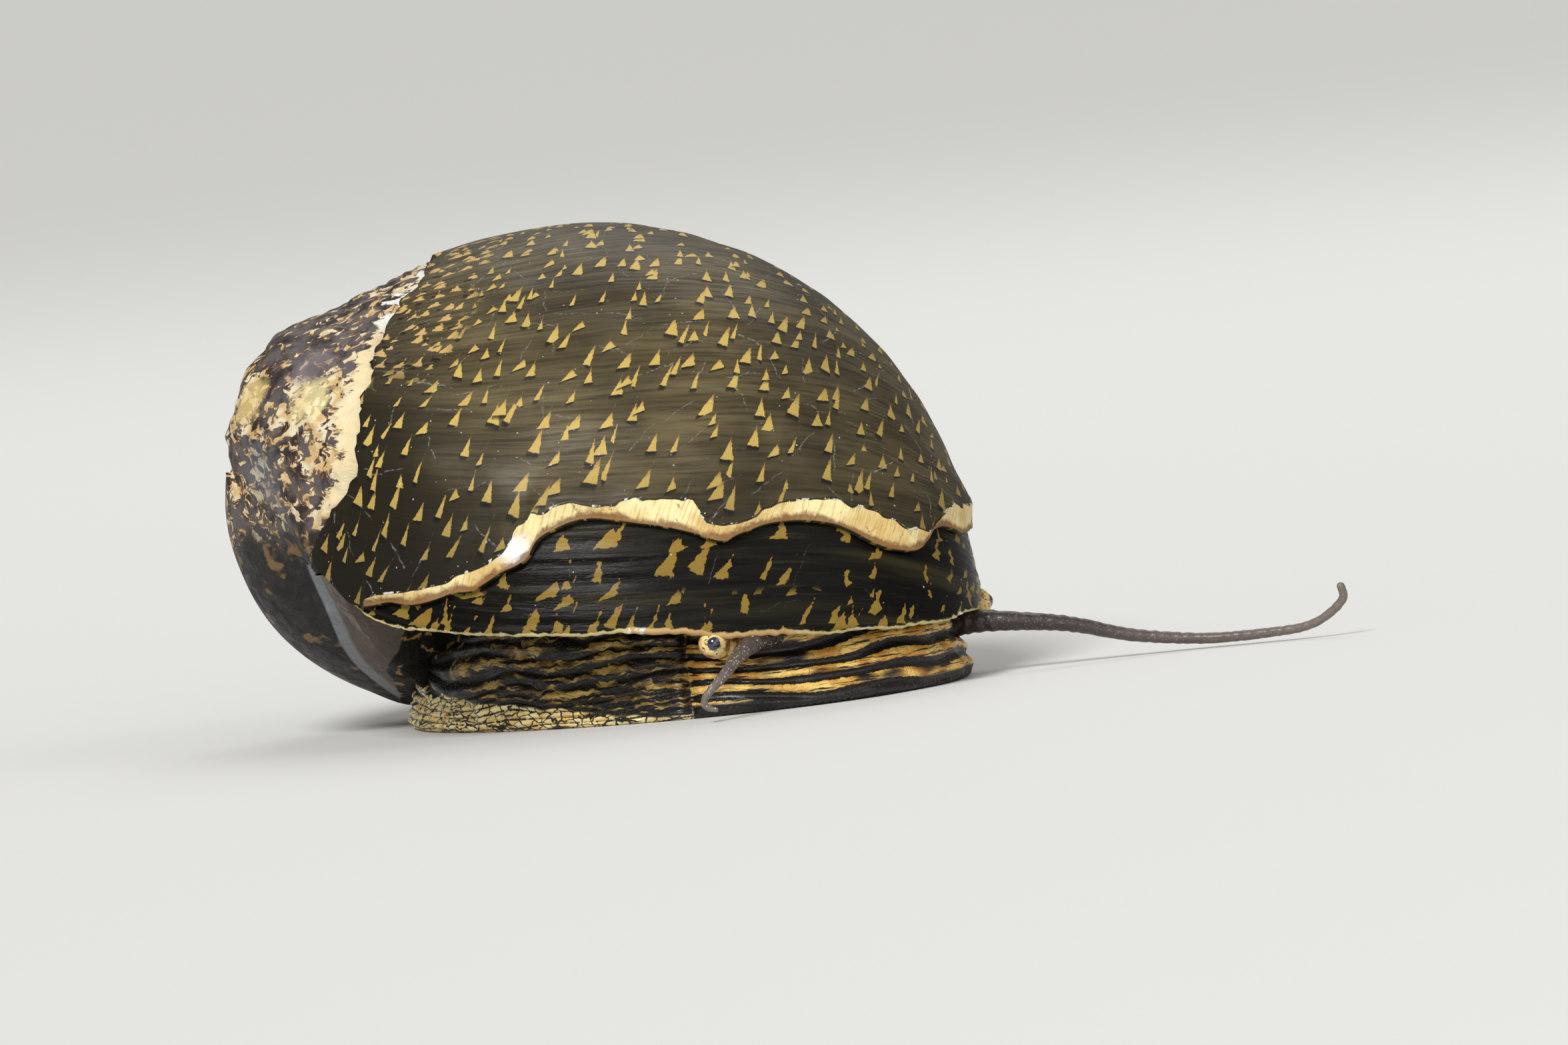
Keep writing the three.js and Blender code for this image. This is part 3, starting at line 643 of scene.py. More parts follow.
def specks():
    """Loose pale specks: the middles of scattered cells, most of them left out."""
    tree, r, given, out = new_group("specks", [("Place", VECTOR, None), ("Size", FLOAT, 3.0), ("Kept", FLOAT, 0.2),
                                               ("Radius", FLOAT, 0.2)], [("Mask", FLOAT)])
    cell = r.add("ShaderNodeTexVoronoi", {"Vector": given["Place"], "Scale": given["Size"], "Randomness": 1.0})
    chance, other, _ = r.parts(cell.outputs["Color"])
    there = r.math("LESS_THAN", chance, given["Kept"])
    radius = r.math("MULTIPLY", given["Radius"], r.math("MULTIPLY_ADD", other, 0.8, 0.3))
    dot = r.math("LESS_THAN", cell.outputs["Distance"], radius)
    r.feed(out.inputs["Mask"], r.math("MULTIPLY", there, dot))
    return tree


def patch():
    """A soft-edged patch round a point, its edge broken by noise."""
    tree, r, given, out = new_group("patch", [("Place", VECTOR, None), ("Middle", VECTOR, (0, 0, 0)),
                                              ("Radius", FLOAT, 1.0), ("Soft", FLOAT, 0.5), ("Ragged", FLOAT, 1.0)],
                                    [("Mask", FLOAT)])
    far = r.add("ShaderNodeVectorMath", {0: given["Place"], 1: given["Middle"]}, operation="DISTANCE").outputs["Value"]
    rough = r.math("MULTIPLY", r.math("SUBTRACT", r.noise(given["Place"], 1.3, 4.0, 0.6), 0.5), given["Ragged"])
    far = r.math("SUBTRACT", r.math("ADD", far, rough), given["Radius"])
    far = r.math("DIVIDE", far, given["Soft"])
    r.feed(out.inputs["Mask"], r.step(far, 1.0, -1.0))
    return tree


MARKS = sail_marks()
SCRATCHES = scratches()
LINES = growth_lines()
SPECKS = specks()
PATCH = patch()

# Colours, linear.
OCHRE = (0.45, 0.295, 0.068, 1)
PALE_OCHRE = (0.54, 0.395, 0.11, 1)
DEEP_OCHRE = (0.42, 0.255, 0.030, 1)
BROWN = (0.22, 0.10, 0.03, 1)
OLIVE = (0.068, 0.051, 0.022, 1)
OLIVE_LIGHT = (0.138, 0.110, 0.054, 1)
OLIVE_DARK = (0.010, 0.0075, 0.0028, 1)
OLIVE_LINE = (0.036, 0.030, 0.012, 1)
BLACK = (0.0040, 0.0036, 0.0026, 1)
CREAM = (0.64, 0.46, 0.18, 1)
CREAM_LIGHT = (0.82, 0.70, 0.36, 1)
TAN = (0.42, 0.25, 0.08, 1)
RUST = (0.16, 0.055, 0.012, 1)
WHITE = (0.74, 0.74, 0.70, 1)
GREY = (0.16, 0.17, 0.19, 1)


def packed_closer(r, growth):
    """The growth place drawn out towards the suture, so that marks there are small."""
    grown, along, _ = r.parts(growth)
    near = r.math("EXPONENT", r.math("MULTIPLY", along, -0.3))
    return r.joined(grown, r.math("MULTIPLY_ADD", near, -1.3, along))


def painted_shade(r, place, most):
    """Painted shade: how much darker the shell's colours are made where less light falls, most low down and a little
    towards the head.
    """
    x, y, high = r.parts(place)
    low = r.step(high, 10.5, 4.5, 0.0, most)
    ahead = r.step(r.math("ADD", x, y), 3.0, 10.0, 0.0, 0.3)
    return r.math("MAXIMUM", low, ahead)


def whorl_finish():
    """Semi-gloss dark olive shell with growth lines, ochre sails and scratches, and a cream broken edge; painted shade
    darkens it low down and towards the head, and, with a darker shell, on the lower left.
    """
    finish, r, shader = new_finish("dark_olive_shell", 0.4, 0.17, 0.04, 0.25)
    place = r.place()
    growth = r.attribute("growth")
    above_edge, from_seam, width = r.parts(r.attribute("near"))
    lines = r.group(LINES, {"Place": growth, "Fineness": 5.0})
    colour = r.mix(r.step(lines["Broad"], 0.3, 0.7), OLIVE, OLIVE_LIGHT)
    colour = r.mix(r.step(lines["Fine"], 0.42, 0.68, 0.0, 0.6), colour, OLIVE_DARK)
    cloud = r.noise(place, 0.22, 3.0)
    colour = r.mix(r.step(cloud, 0.42, 0.66, 0.0, 0.55), colour, OLIVE_DARK)
    x, y, high = r.parts(place)
    # Darker towards the lower left: partly a darker shell there, partly painted shade where less light falls.
    back = r.math("MULTIPLY_ADD", cloud, 5.0, r.math("MULTIPLY_ADD", high, 0.5, r.math("ADD", x, y)))
    colour = r.mix(r.step(back, 1.0, -7.0, 0.0, 0.92), colour, OLIVE_DARK)
    grown, along, _ = r.parts(growth)
    by_suture = r.math("MULTIPLY", r.step(along, 3.4, 2.4), r.step(grown, 10.0, 13.0))
    dots = r.group(MARKS, {"Place": growth, "Rows": 0.85, "Columns": 0.75, "Height": 0.62, "Width": 0.62, "Kept": 0.9,
                           "Ragged": 0.3})["Mask"]
    colour = r.mix(r.math("MULTIPLY", dots, by_suture), colour, (0.52, 0.34, 0.12, 1))
    net = packed_closer(r, growth)
    for shift, kept in ((0.0, 0.9), (57.3, 0.3)):
        marks = r.group(MARKS, {"Place": r.vector("ADD", net, (shift, shift, 0)), "Kept": kept})
        colour = r.mix(r.math("MULTIPLY", marks["Shadow"], 0.85), colour, BLACK)
        ochre = r.mix(r.noise(place, 1.7, 3.0), OCHRE, PALE_OCHRE)
        ochre = r.mix(r.math("MULTIPLY", marks["Tip"], 0.7), ochre, BROWN)
        colour = r.mix(r.math("MULTIPLY", marks["Mask"], r.math("SUBTRACT", 1.0, by_suture)), colour, ochre)
    # Painted shade: the colours darken low down and towards the head.
    colour = r.mix(painted_shade(r, place, 0.6), colour, BLACK)
    dust = r.group(SPECKS, {"Place": place, "Size": 3.4, "Kept": 0.3, "Radius": 0.11})["Mask"]
    fleck = r.group(SCRATCHES, {"Place": growth, "Size": 0.6, "Kept": 0.7, "Thick": 0.05, "Long": 0.9})["Mask"]
    colour = r.mix(r.math("MULTIPLY", dust, 0.45), colour, WHITE)
    colour = r.mix(r.math("MULTIPLY", fleck, 0.7), colour, (0.34, 0.35, 0.33, 1))
    # The broken edge: cream, striped across, stained below and chipped white along its top.
    in_edge = r.math("MULTIPLY", r.step(r.math("SUBTRACT", width, above_edge), 0.0, 0.03), r.step(above_edge, -0.2, -0.02))
    band = r.math("MULTIPLY", in_edge, r.step(width, 0.08, 0.14))
    across = r.noise(r.scale(growth, (0.6, 5.0, 0.0)), 1.5, 3.0, 0.6)
    cream = r.mix(r.step(r.noise(place, 0.5, 3.0), 0.38, 0.6), CREAM, CREAM_LIGHT)
    cream = r.mix(r.step(across, 0.46, 0.68, 0.0, 0.6), cream, TAN)
    for middle, radius in (((3.1, -10.7, 6.4), 0.55), ((8.0, -7.3, 7.3), 0.35), ((-0.6, -11.6, 5.0), 0.3)):
        spot = r.group(PATCH, {"Place": place, "Middle": middle, "Radius": radius, "Soft": 0.3, "Ragged": 0.8})
        cream = r.mix(spot["Mask"], cream, WHITE)
    low = r.step(r.math("MULTIPLY_ADD", r.noise(place, 1.6, 4.0, 0.7), -0.6, above_edge), 0.0, -0.2)
    cream = r.mix(r.math("MULTIPLY", low, 0.85), cream, RUST)
    spotted = r.step(r.noise(place, 2.4, 4.0, 0.7), 0.62, 0.7)
    cream = r.mix(r.math("MULTIPLY", spotted, 0.7), cream, RUST)
    top = r.step(r.math("ABSOLUTE", r.math("SUBTRACT", r.math("SUBTRACT", above_edge, width), 0.02)), 0.05, 0.02)
    top = r.math("MULTIPLY", top, r.step(width, 0.08, 0.14))
    chip = r.step(r.noise(place, 2.8, 3.0, 0.6), 0.55, 0.6)
    colour = r.mix(r.math("MULTIPLY", top, 0.8), colour, OLIVE_DARK)
    colour = r.mix(band, colour, cream)
    colour = r.mix(r.math("MULTIPLY", r.math("MULTIPLY", top, chip), 0.8), colour, WHITE)
    r.feed(shader.inputs["Base Color"], colour)
    rough = r.step(lines["Fine"], 0.3, 0.7, 0.36, 0.54)
    r.feed(shader.inputs["Roughness"], r.math("MULTIPLY_ADD", band, 0.12, rough))
    height = r.math("MULTIPLY_ADD", lines["Broad"], 1.2, lines["Fine"])
    height = r.math("MULTIPLY_ADD", r.math("MULTIPLY", across, band), 1.5, height)
    r.feed(shader.inputs["Normal"], r.bump(r.math("ADD", height, fleck), 0.045, 0.6))
    return finish


def new_growth_finish():
    """Glossy black newer growth with fine lines and larger ragged ochre marks darkened by painted shade low down, and
    a pale chipped lip.
    """
    finish, r, shader = new_finish("black_new_growth", 0.3, 0.08, 0.02, 0.15)
    place = r.place()
    growth = r.attribute("growth")
    above_lip, _, _ = r.parts(r.attribute("near"))
    lines = r.group(LINES, {"Place": growth, "Fineness": 5.0})
    colour = r.mix(r.step(lines["Broad"], 0.46, 0.75, 0.0, 0.8), BLACK, OLIVE_LINE)
    colour = r.mix(r.step(lines["Fine"], 0.55, 0.75, 0.0, 0.6), colour, OLIVE_LINE)
    by_lip = r.step(above_lip, 1.5, 1.1)
    for shift, kept, size, where in ((0.0, 0.75, 1.0, 1.0), (31.7, 0.25, 1.0, 1.0), (77.9, 0.6, 0.72, by_lip)):
        marks = r.group(MARKS, {
            "Place": r.vector("ADD", growth, (shift, shift, 0)), "Rows": 1.5 * size, "Columns": 1.3 * size,
            "Height": size, "Width": 0.64 * size, "Kept": kept, "Lean": 0.7, "Ragged": 0.4, "Fineness": 2.6,
        })
        ochre = r.mix(r.noise(place, 1.7, 3.0), DEEP_OCHRE, OCHRE)
        # Painted shade on the marks: darker low down and towards the head.
        ochre = r.mix(painted_shade(r, place, 0.5), ochre, BLACK)
        ochre = r.mix(r.math("MULTIPLY", marks["Tip"], 0.5), ochre, BROWN)
        colour = r.mix(r.math("MULTIPLY", marks["Mask"], where), colour, ochre)
    dust = r.group(SPECKS, {"Place": place, "Size": 2.8, "Kept": 0.14, "Radius": 0.1})["Mask"]
    fleck = r.group(SCRATCHES, {"Place": growth, "Size": 0.5, "Kept": 0.4, "Thick": 0.03, "Long": 1.1})["Mask"]
    colour = r.mix(r.math("MULTIPLY", dust, 0.45), colour, WHITE)
    colour = r.mix(r.math("MULTIPLY", fleck, 0.4), colour, GREY)
    ragged = r.math("MULTIPLY", r.math("SUBTRACT", r.noise(place, 3.0, 4.0, 0.7), 0.5), 0.2)
    x, y, _ = r.parts(place)
    from_middle = r.math("ABSOLUTE", r.math("MULTIPLY_ADD", r.math("ADD", x, y), 0.707, -1.0))
    thick = r.step(from_middle, 3.4, 2.4, 0.0, 0.1)
    above_lip = r.math("SUBTRACT", above_lip, thick)
    lip = r.step(r.math("ADD", above_lip, ragged), 0.12, 0.05)
    pale = r.mix(r.noise(place, 1.5, 4.0), (0.34, 0.27, 0.08, 1), CREAM_LIGHT)
    pale = r.mix(r.step(thick, 0.0, 0.1, 0.0, 0.7), pale, (0.50, 0.28, 0.11, 1))
    pale = r.mix(r.step(r.noise(place, 1.1, 4.0, 0.7), 0.58, 0.64), pale, WHITE)
    colour = r.mix(lip, colour, pale)
    r.feed(shader.inputs["Base Color"], colour)
    rough = r.step(lines["Fine"], 0.3, 0.7, 0.2, 0.42)
    r.feed(shader.inputs["Roughness"], r.math("MULTIPLY_ADD", lip, 0.3, rough))
    r.feed(shader.inputs["Normal"], r.bump(r.math("MULTIPLY_ADD", lines["Broad"], 1.2, lines["Fine"]), 0.06, 0.7))
    return finish


def spire_finish():
    """Worn older whorls: cream, tan and grey-purple mottling, chalky at the seam and dark at the base."""
    finish, r, shader = new_finish("worn_spire", 0.55, 0.2)
    place = r.place()
    growth = r.attribute("growth")
    flank, from_seam, deck = r.parts(r.attribute("near"))
    _, _, high = r.parts(place)
    flat = r.scale(place, (1.8, 1.8, 2.6))
    mottle = r.noise(flat, 1.0, 5.0, 0.62, 0.7)
    cloud = r.noise(place, 0.5, 3.0)
    mottle = r.math("MULTIPLY_ADD", cloud, 0.3, r.math("SUBTRACT", mottle, 0.15))
    mottle = r.math("ADD", mottle, r.step(from_seam, -3.4, -0.8, 0.0, 0.03))
    mottle = r.math("SUBTRACT", mottle, r.step(high, 12.4, 13.4, 0.0, 0.05))
    mottle = r.math("SUBTRACT", mottle, r.step(high, 10.6, 9.4, 0.0, 0.03))
    dark = r.mix(r.step(r.noise(place, 1.1, 3.0), 0.4, 0.6), (0.026, 0.018, 0.014, 1), (0.105, 0.090, 0.088, 1))
    cream = r.mix(r.step(r.noise(place, 1.4, 3.0), 0.4, 0.6), (0.56, 0.38, 0.17, 1), (0.70, 0.62, 0.44, 1))
    colour = r.mix(r.step(mottle, 0.48, 0.51), dark, (0.20, 0.10, 0.04, 1))
    colour = r.mix(r.step(mottle, 0.515, 0.545), colour, cream)
    # Dark, less worn shell towards the base, with blurred ochre dots.
    base = r.mix(r.noise(place, 1.3, 4.0), (0.008, 0.007, 0.006, 1), (0.030, 0.026, 0.024, 1))
    blurred = r.step(r.noise(flat, 0.62, 3.0, 0.45), 0.56, 0.66, 0.0, 0.85)
    base = r.mix(blurred, base, (0.20, 0.12, 0.05, 1))
    low = r.math("MULTIPLY_ADD", r.noise(place, 0.5, 4.0), 4.0, high)
    colour = r.mix(r.step(low, 9.8, 8.6), colour, base)
    for middle, radius, soft, ragged, tint in (
        ((-10.0, -10.0, 12.2), 0.9, 0.3, 1.0, (0.76, 0.58, 0.24, 1)),
        ((-9.1, -10.6, 9.4), 1.0, 0.9, 2.0, GREY),
        ((-6.2, -10.4, 12.1), 0.9, 0.3, 3.2, CREAM_LIGHT),
        ((-7.2, -9.2, 13.2), 0.8, 0.5, 2.5, (0.19, 0.16, 0.17, 1)),
    ):
        spot = r.group(PATCH, {"Place": place, "Middle": middle, "Radius": radius, "Soft": soft, "Ragged": ragged})
        colour = r.mix(r.math("MULTIPLY", spot["Mask"], 0.65), colour, tint)
    streak = r.noise(r.scale(place, (0.8, 0.8, 3.2)), 1.0, 4.0, 0.65)
    chalk = r.math("MULTIPLY_ADD", r.math("SUBTRACT", streak, 0.5), 3.0, from_seam)
    chalk = r.math("SUBTRACT", chalk, r.step(high, 12.8, 14.0, 0.0, 0.5))
    chalk = r.math("MULTIPLY", r.step(chalk, -1.0, -0.8), r.step(r.math("MULTIPLY_ADD", streak, 1.5, high), 8.6, 9.2))
    chalk_tint = r.mix(r.noise(place, 0.9, 3.0), (0.70, 0.54, 0.28, 1), (0.78, 0.70, 0.48, 1))
    chalk_tint = r.mix(r.step(high, 13.6, 14.4), chalk_tint, WHITE)
    colour = r.mix(chalk, colour, chalk_tint)
    spot = r.group(PATCH, {"Place": place, "Middle": (-4.9, -7.7, 14.1), "Radius": 0.45, "Soft": 0.4, "Ragged": 1.2})
    colour = r.mix(r.math("MULTIPLY", spot["Mask"], 0.85), colour, (0.38, 0.16, 0.04, 1))
    smooth_deck = r.step(deck, 0.0, 0.12)
    deck_tint = r.mix(r.noise(place, 1.2, 3.0), (0.075, 0.058, 0.045, 1), (0.14, 0.115, 0.09, 1))
    colour = r.mix(smooth_deck, colour, deck_tint)
    strip = r.math("MULTIPLY", r.step(deck, -0.26, -0.16), r.step(deck, 0.3, 0.1))
    colour = r.mix(strip, colour, (0.20, 0.21, 0.22, 1))
    spotted = r.mix(r.step(r.noise(place, 1.9, 2.0), 0.6, 0.66), (0.004, 0.004, 0.003, 1), (0.30, 0.18, 0.05, 1))
    flesh = r.step(r.math("MULTIPLY_ADD", r.math("SUBTRACT", r.noise(place, 1.5, 3.0), 0.5), 0.5, flank), -0.06, 0.06)
    colour = r.mix(flesh, colour, spotted)
    r.feed(shader.inputs["Base Color"], colour)
    rough = r.step(mottle, 0.4, 0.6, 0.45, 0.65)
    r.feed(shader.inputs["Roughness"], r.math("MULTIPLY_ADD", smooth_deck, -0.15, rough))
    r.feed(shader.inputs["Normal"], r.bump(r.math("MULTIPLY_ADD", mottle, 1.5, r.noise(place, 2.6, 5.0, 0.65)), 0.1, 0.6))
    return finish


def edge_phi(theta):
    """The old broken edge where there is one, and the free edge elsewhere."""
    rim = through(RIM, theta)
    on = (theta > SEEN_EDGE[0][0]) & (theta < SEEN_EDGE[-1][0])
    return np.where(on, np.minimum(through(SEEN_EDGE, theta), rim), rim)


def shell_point(theta, phi, radius):
    return SHELL_MIDDLE + ray(theta, phi) * radius[..., None]


def off_floor(points):
    """Points no lower than the shell's lowest height, eased in just above it."""
    over = points[..., 2:] - LOWEST
    eased = LOWEST + np.log1p(np.exp(np.clip(over / 0.15, -40, 40))) * 0.15
    return np.concatenate([points[..., :2], np.where(over > 2, points[..., 2:], eased)], -1)


def underside(theta, phi, rim, depth, grid):
    """Radius where the shell's underside lies: the straight line from the free edge to a point below the
    shell's middle."""
    out = on_grid(grid, theta, rim) - depth
    ax, az = out * np.sin(np.radians(rim)), out * np.cos(np.radians(rim))
    bz = UNDER_MIDDLE + depth
    dx, dz = np.sin(np.radians(phi)), np.cos(np.radians(phi))
    cross = (-ax) * dz - (bz - az) * dx
    return ((-ax) * az - (bz - az) * ax) / cross


UNDER_MIDDLE = -3.7
EDGE_WIDE = 6.0  # degrees of the fine rows above the edge
PROUD = 0.16
LOWEST = 0.65  # the shell's lowest height over the floor
UNDER = -1.0  # stands for the underside in the attribute near
WALL = 0.75
CAVITY = 4.0


STEP_DOWN = 0.9  # how far the last whorl dips inside the seam
EDGE_WIDTHS = [
    [-95, 0], [-93.4, 0.3], [-90, 0.26], [-86, 0.46], [-82, 0.5], [-78.6, 0.45], [-75.7, 0.62], [-70.7, 0.55],
    [-69.2, 0.8], [-68, 1.25], [-66, 1.25], [-64.6, 0.85], [-62, 0.65], [-59, 0.56], [-56, 0.45], [-52, 0.5],
    [-48, 0.8], [-45, 0.94], [-41.4, 1.02], [-38.5, 1.02], [-37.7, 0.66], [-36.2, 0.58], [-34, 0.46], [-32, 0.32],
    [-29, 0.34], [-27.6, 0.5], [-22.4, 0.63], [-18.7, 0.75], [-15, 0.84], [-12, 0.94], [-8.7, 1.1], [-6, 1.02],
    [-3, 0.76], [0.3, 0.53], [3.1, 0.16], [5, 0.2], [8, 0.5], [12, 0.85], [24, 0.8], [60, 0.6], [106, 0.3],
]


def last_whorl():
    """The last whorl: rows from the top to the old edge, closer there, a broken edge, then an inner wall and
    the underside. Radius is the coil's, with a dip inside the seam and a slanted face along the edge."""
    theta = np.linspace(-180, 180, 620, endpoint=False)[None, :]
    edge = edge_phi(theta)
    rim = through(RIM, theta)
    upper = np.linspace(0.003, 1, 96)[:, None] * (edge - EDGE_WIDE)
    fine = edge - EDGE_WIDE + np.linspace(0, 1, 41)[1:, None] * EDGE_WIDE
    phi = np.concatenate([upper, fine])
    theta_rows = np.broadcast_to(theta, phi.shape)
    way = ray(theta_rows, phi)
    late, early = on_grid(LATE_GRID, theta_rows, phi), on_grid(EARLY_GRID, theta_rows, phi)
    seam_mm, step = seam_place(theta_rows, phi, way, late)
    above = (edge - phi) * late * np.pi / 180
    width = through(EDGE_WIDTHS, theta) * (theta > EDGE_WIDTHS[0][0]) + 0 * phi
    ragged = waves(way * 12, 0.5, 5)
    ragged_width = width * (1 + 0.07 * ragged + 0.07 * waves(way * 12, 1.4, 8))
    in_band = smooth(width, 0.0, 0.3)
    lip = np.exp(-(((above - ragged_width - 0.05) / 0.12) ** 2))
    face = smooth(above, ragged_width, 0.0)
    lift = in_band * (PROUD * smooth(above, 2.2, 0.7) + 0.03 * lip - 0.16 * face + 0.02 * face * ragged)
    seam_mm = seam_mm + 0.05 * ragged + 0.1 * waves(way * 12, 2.0, 6) + 0.1 * waves(way * 12, 0.85, 9)
    inside = smooth(-seam_mm, -0.15, 0.25)
    worn_in = np.minimum(late, early) - STEP_DOWN * np.maximum(step, 0.4)
    radius = late + lift + 0.025 * waves(way * 12, 2.4, 7)
    radius = radius + (worn_in - radius) * inside
    rings = [shell_point(theta_rows, phi, radius)]
    near = [np.stack([above, seam_mm, ragged_width], -1)]
    growth = [growth_field(way, -285, 12)]
    edge_radius = radius[-1:]
    for turn, depth in ((0.2, 0.05), (0.35, 0.14), (0.4, 0.3), (0.35, 0.55), (0.3, WALL)):
        rings.append(shell_point(theta, edge + turn, edge_radius - depth))
        near.append(near[0][-1:] * [0, 1, 0] + [UNDER, 0, 0])
        growth.append(growth[0][-1:])
    inner = edge_radius - WALL
    inner_late = on_grid(LATE_GRID, theta, rim - CAVITY) - WALL - 0.15
    for share in np.linspace(0, 1, 8)[1:]:
        phi_in = edge + 0.3 + (rim - CAVITY - edge - 0.3) * share
        rings.append(shell_point(theta, phi_in, inner + (np.minimum(inner_late, inner) - inner) * share))
        near.append(near[-1])
        growth.append(growth[0][-1:])
    last = rings[-1]
    middle = last.mean(1, keepdims=True)
    for share in np.linspace(0, 0.97, 9)[1:]:
        rings.append(last + (middle - last) * share)
        near.append(near[-1])
        growth.append(growth[0][-1:])
    rings, near, growth = (np.concatenate(rows) for rows in (rings, near, growth))
    rings = off_floor(rings)
    return put_mesh("last_whorl", [(rings, {"near": near, "growth": growth})], whorl_finish(),
                    ["shell_body_whorl"])


BAND_FROM = -104.6
BAND_TO = 103
BAND_BACK = 0.3
BAND_WALL = 0.62


def new_growth():
    """The band of newer growth: a thin wall from under the old edge to the lip, round and chipped below."""
    theta = np.linspace(BAND_FROM, BAND_TO, 620)[:, None]
    top = edge_phi(theta) - 2.5
    rim = through(RIM, theta)
    chip = (waves(theta * 0.2, 2.6, 11) * 0.5 + waves(theta * 0.2, 0.5, 12) * 0.2)[:, None]
    low = rim + 0.35 * chip
    share = np.linspace(0, 1, 48)[None, :]
    phi = top + (low - top) * share
    theta_rows = np.broadcast_to(theta, phi.shape)
    way = ray(theta_rows, phi)
    radius = on_grid(LATE_GRID, theta_rows, phi) - BAND_BACK
    growth = growth_field(way, -285, 12)
    lines = waves(growth[..., :1] * [1.0] + growth[..., 1:2] * 0.01, 0.5, 13) * 0.02
    radius = radius + lines - 0.1 * smooth(share, 0.97, 1.0)
    above = (low - phi) * radius * np.pi / 180
    outer = shell_point(theta_rows, phi, radius)
    near = np.stack([above, above * 0, above * 0], -1)
    parts, nears, growths = [outer], [near], [growth]
    for turn, depth in ((0.3, 0.12), (0.45, 0.26), (0.3, 0.42), (-0.2, 0.52)):
        parts.append(shell_point(theta, low + turn, radius[:, -1:] - depth))
        nears.append(near[:, -1:])
        growths.append(growth[:, -1:])
    back_phi = low - 0.3 + (top - low) * np.linspace(0, 1, 12)[None, :]
    back_theta = np.broadcast_to(theta, back_phi.shape)
    back = on_grid(LATE_GRID, back_theta, back_phi) - BAND_BACK - BAND_WALL
    parts.append(shell_point(back_theta, back_phi, back))
    nears.append(np.broadcast_to(near[:, -1:], back_phi.shape + (3,)))
    growths.append(np.broadcast_to(growth[:, -1:], back_phi.shape + (3,)))
    rings, near, growth = (np.concatenate(rows, 1) for rows in (parts, nears, growths))
    return put_mesh("new_growth", [(rings, {"near": near, "growth": growth})], new_growth_finish(),
                    ["shell_new_growth"])


# On the shell's seen side: height, and how far along the 45 degree line the callus strip and the flesh begin.
STRIP = [[1.0, -9.9], [1.74, -10.59], [2.58, -11.26], [3.29, -11.59], [3.98, -11.79], [4.69, -11.97], [5.44, -12.2], [7, -12.6]]
FLANK = [[0.5, -10.0], [1.5, -10.15], [2.28, -10.3], [2.83, -10.0], [3.43, -9.6], [4.2, -9.1]]

DECK_END = [[-126, 125], [-122, 114], [-119, 110.5], [-116, 106], [-113, 102], [-110, 98], [-107, 93], [-100, 88]]


def spire():
    """The older whorls and the deck inside the lip: rings out from the spire's middle to just under the last
    whorl. Radius is the older coil's, worn down, pitted, and closed below by the underside."""
    turn = np.linspace(-180, 180, 420, endpoint=False)[None, :]
    seam_out = through(SEAM_ROWS[:, :2], turn)
    low_side = np.exp(-(((np.mod(turn + 180, 360) - 180 - 150) / 45) ** 2))
    reach_out = seam_out + 5 + 9 * low_side
    share = np.linspace(0.004, 1, 190)[:, None]
    way = from_spire(np.broadcast_to(turn, (190, 420)), share * reach_out)
    theta = np.degrees(np.arctan2(way[..., 1], way[..., 0]))
    phi = np.degrees(np.arccos(np.clip(way[..., 2], -1, 1)))
    radius = on_grid(EARLY_GRID, theta, phi)
    seam_mm, step = seam_place(theta, phi, way, radius)
    pits = 0.05 * waves(way * 13, 1.2, 21) + 0.03 * waves(way * 13, 0.5, 22)
    groove = 0.1 * np.exp(-((seam_mm / 0.3) ** 2)) * step
    tucked = 0.6 * smooth(seam_mm, 0.1, 0.7) * smooth(phi, 102, 94)
    radius = radius - SPIRE_WORN * step + pits * step - groove - tucked
    by_lip = (theta > DECK_END[0][0]) & (theta < -80)
    rim = np.minimum(through(OLD_RIM, theta), np.where(by_lip, through(DECK_END, theta), 180))
    below = underside(theta, np.maximum(phi, rim + 0.01), rim, 0.0, EARLY_GRID)
    k = smooth(phi, rim - 3, rim + 3)
    radius = radius * (1 - k) + np.minimum(below, radius) * k
    growth = growth_field(way, -640, -255)
    rings = off_floor(SHELL_MIDDLE + way * radius[..., None])
    across = (rings[..., 0] + rings[..., 1]) / np.sqrt(2)
    seen = smooth(abs(theta + 125), 40, 34) * smooth(rings[..., 2], 6.6, 6.0)
    deck = np.where(seen > 0.5, across - through(STRIP, rings[..., 2]), -9)
    flank = np.where(seen > 0.5, across - through(FLANK, rings[..., 2]), -9)
    near = np.stack([flank, seam_mm, deck], -1)
    return put_mesh("worn_spire", [(rings, {"near": near, "growth": growth})], spire_finish(),
                    ["shell_spire"])


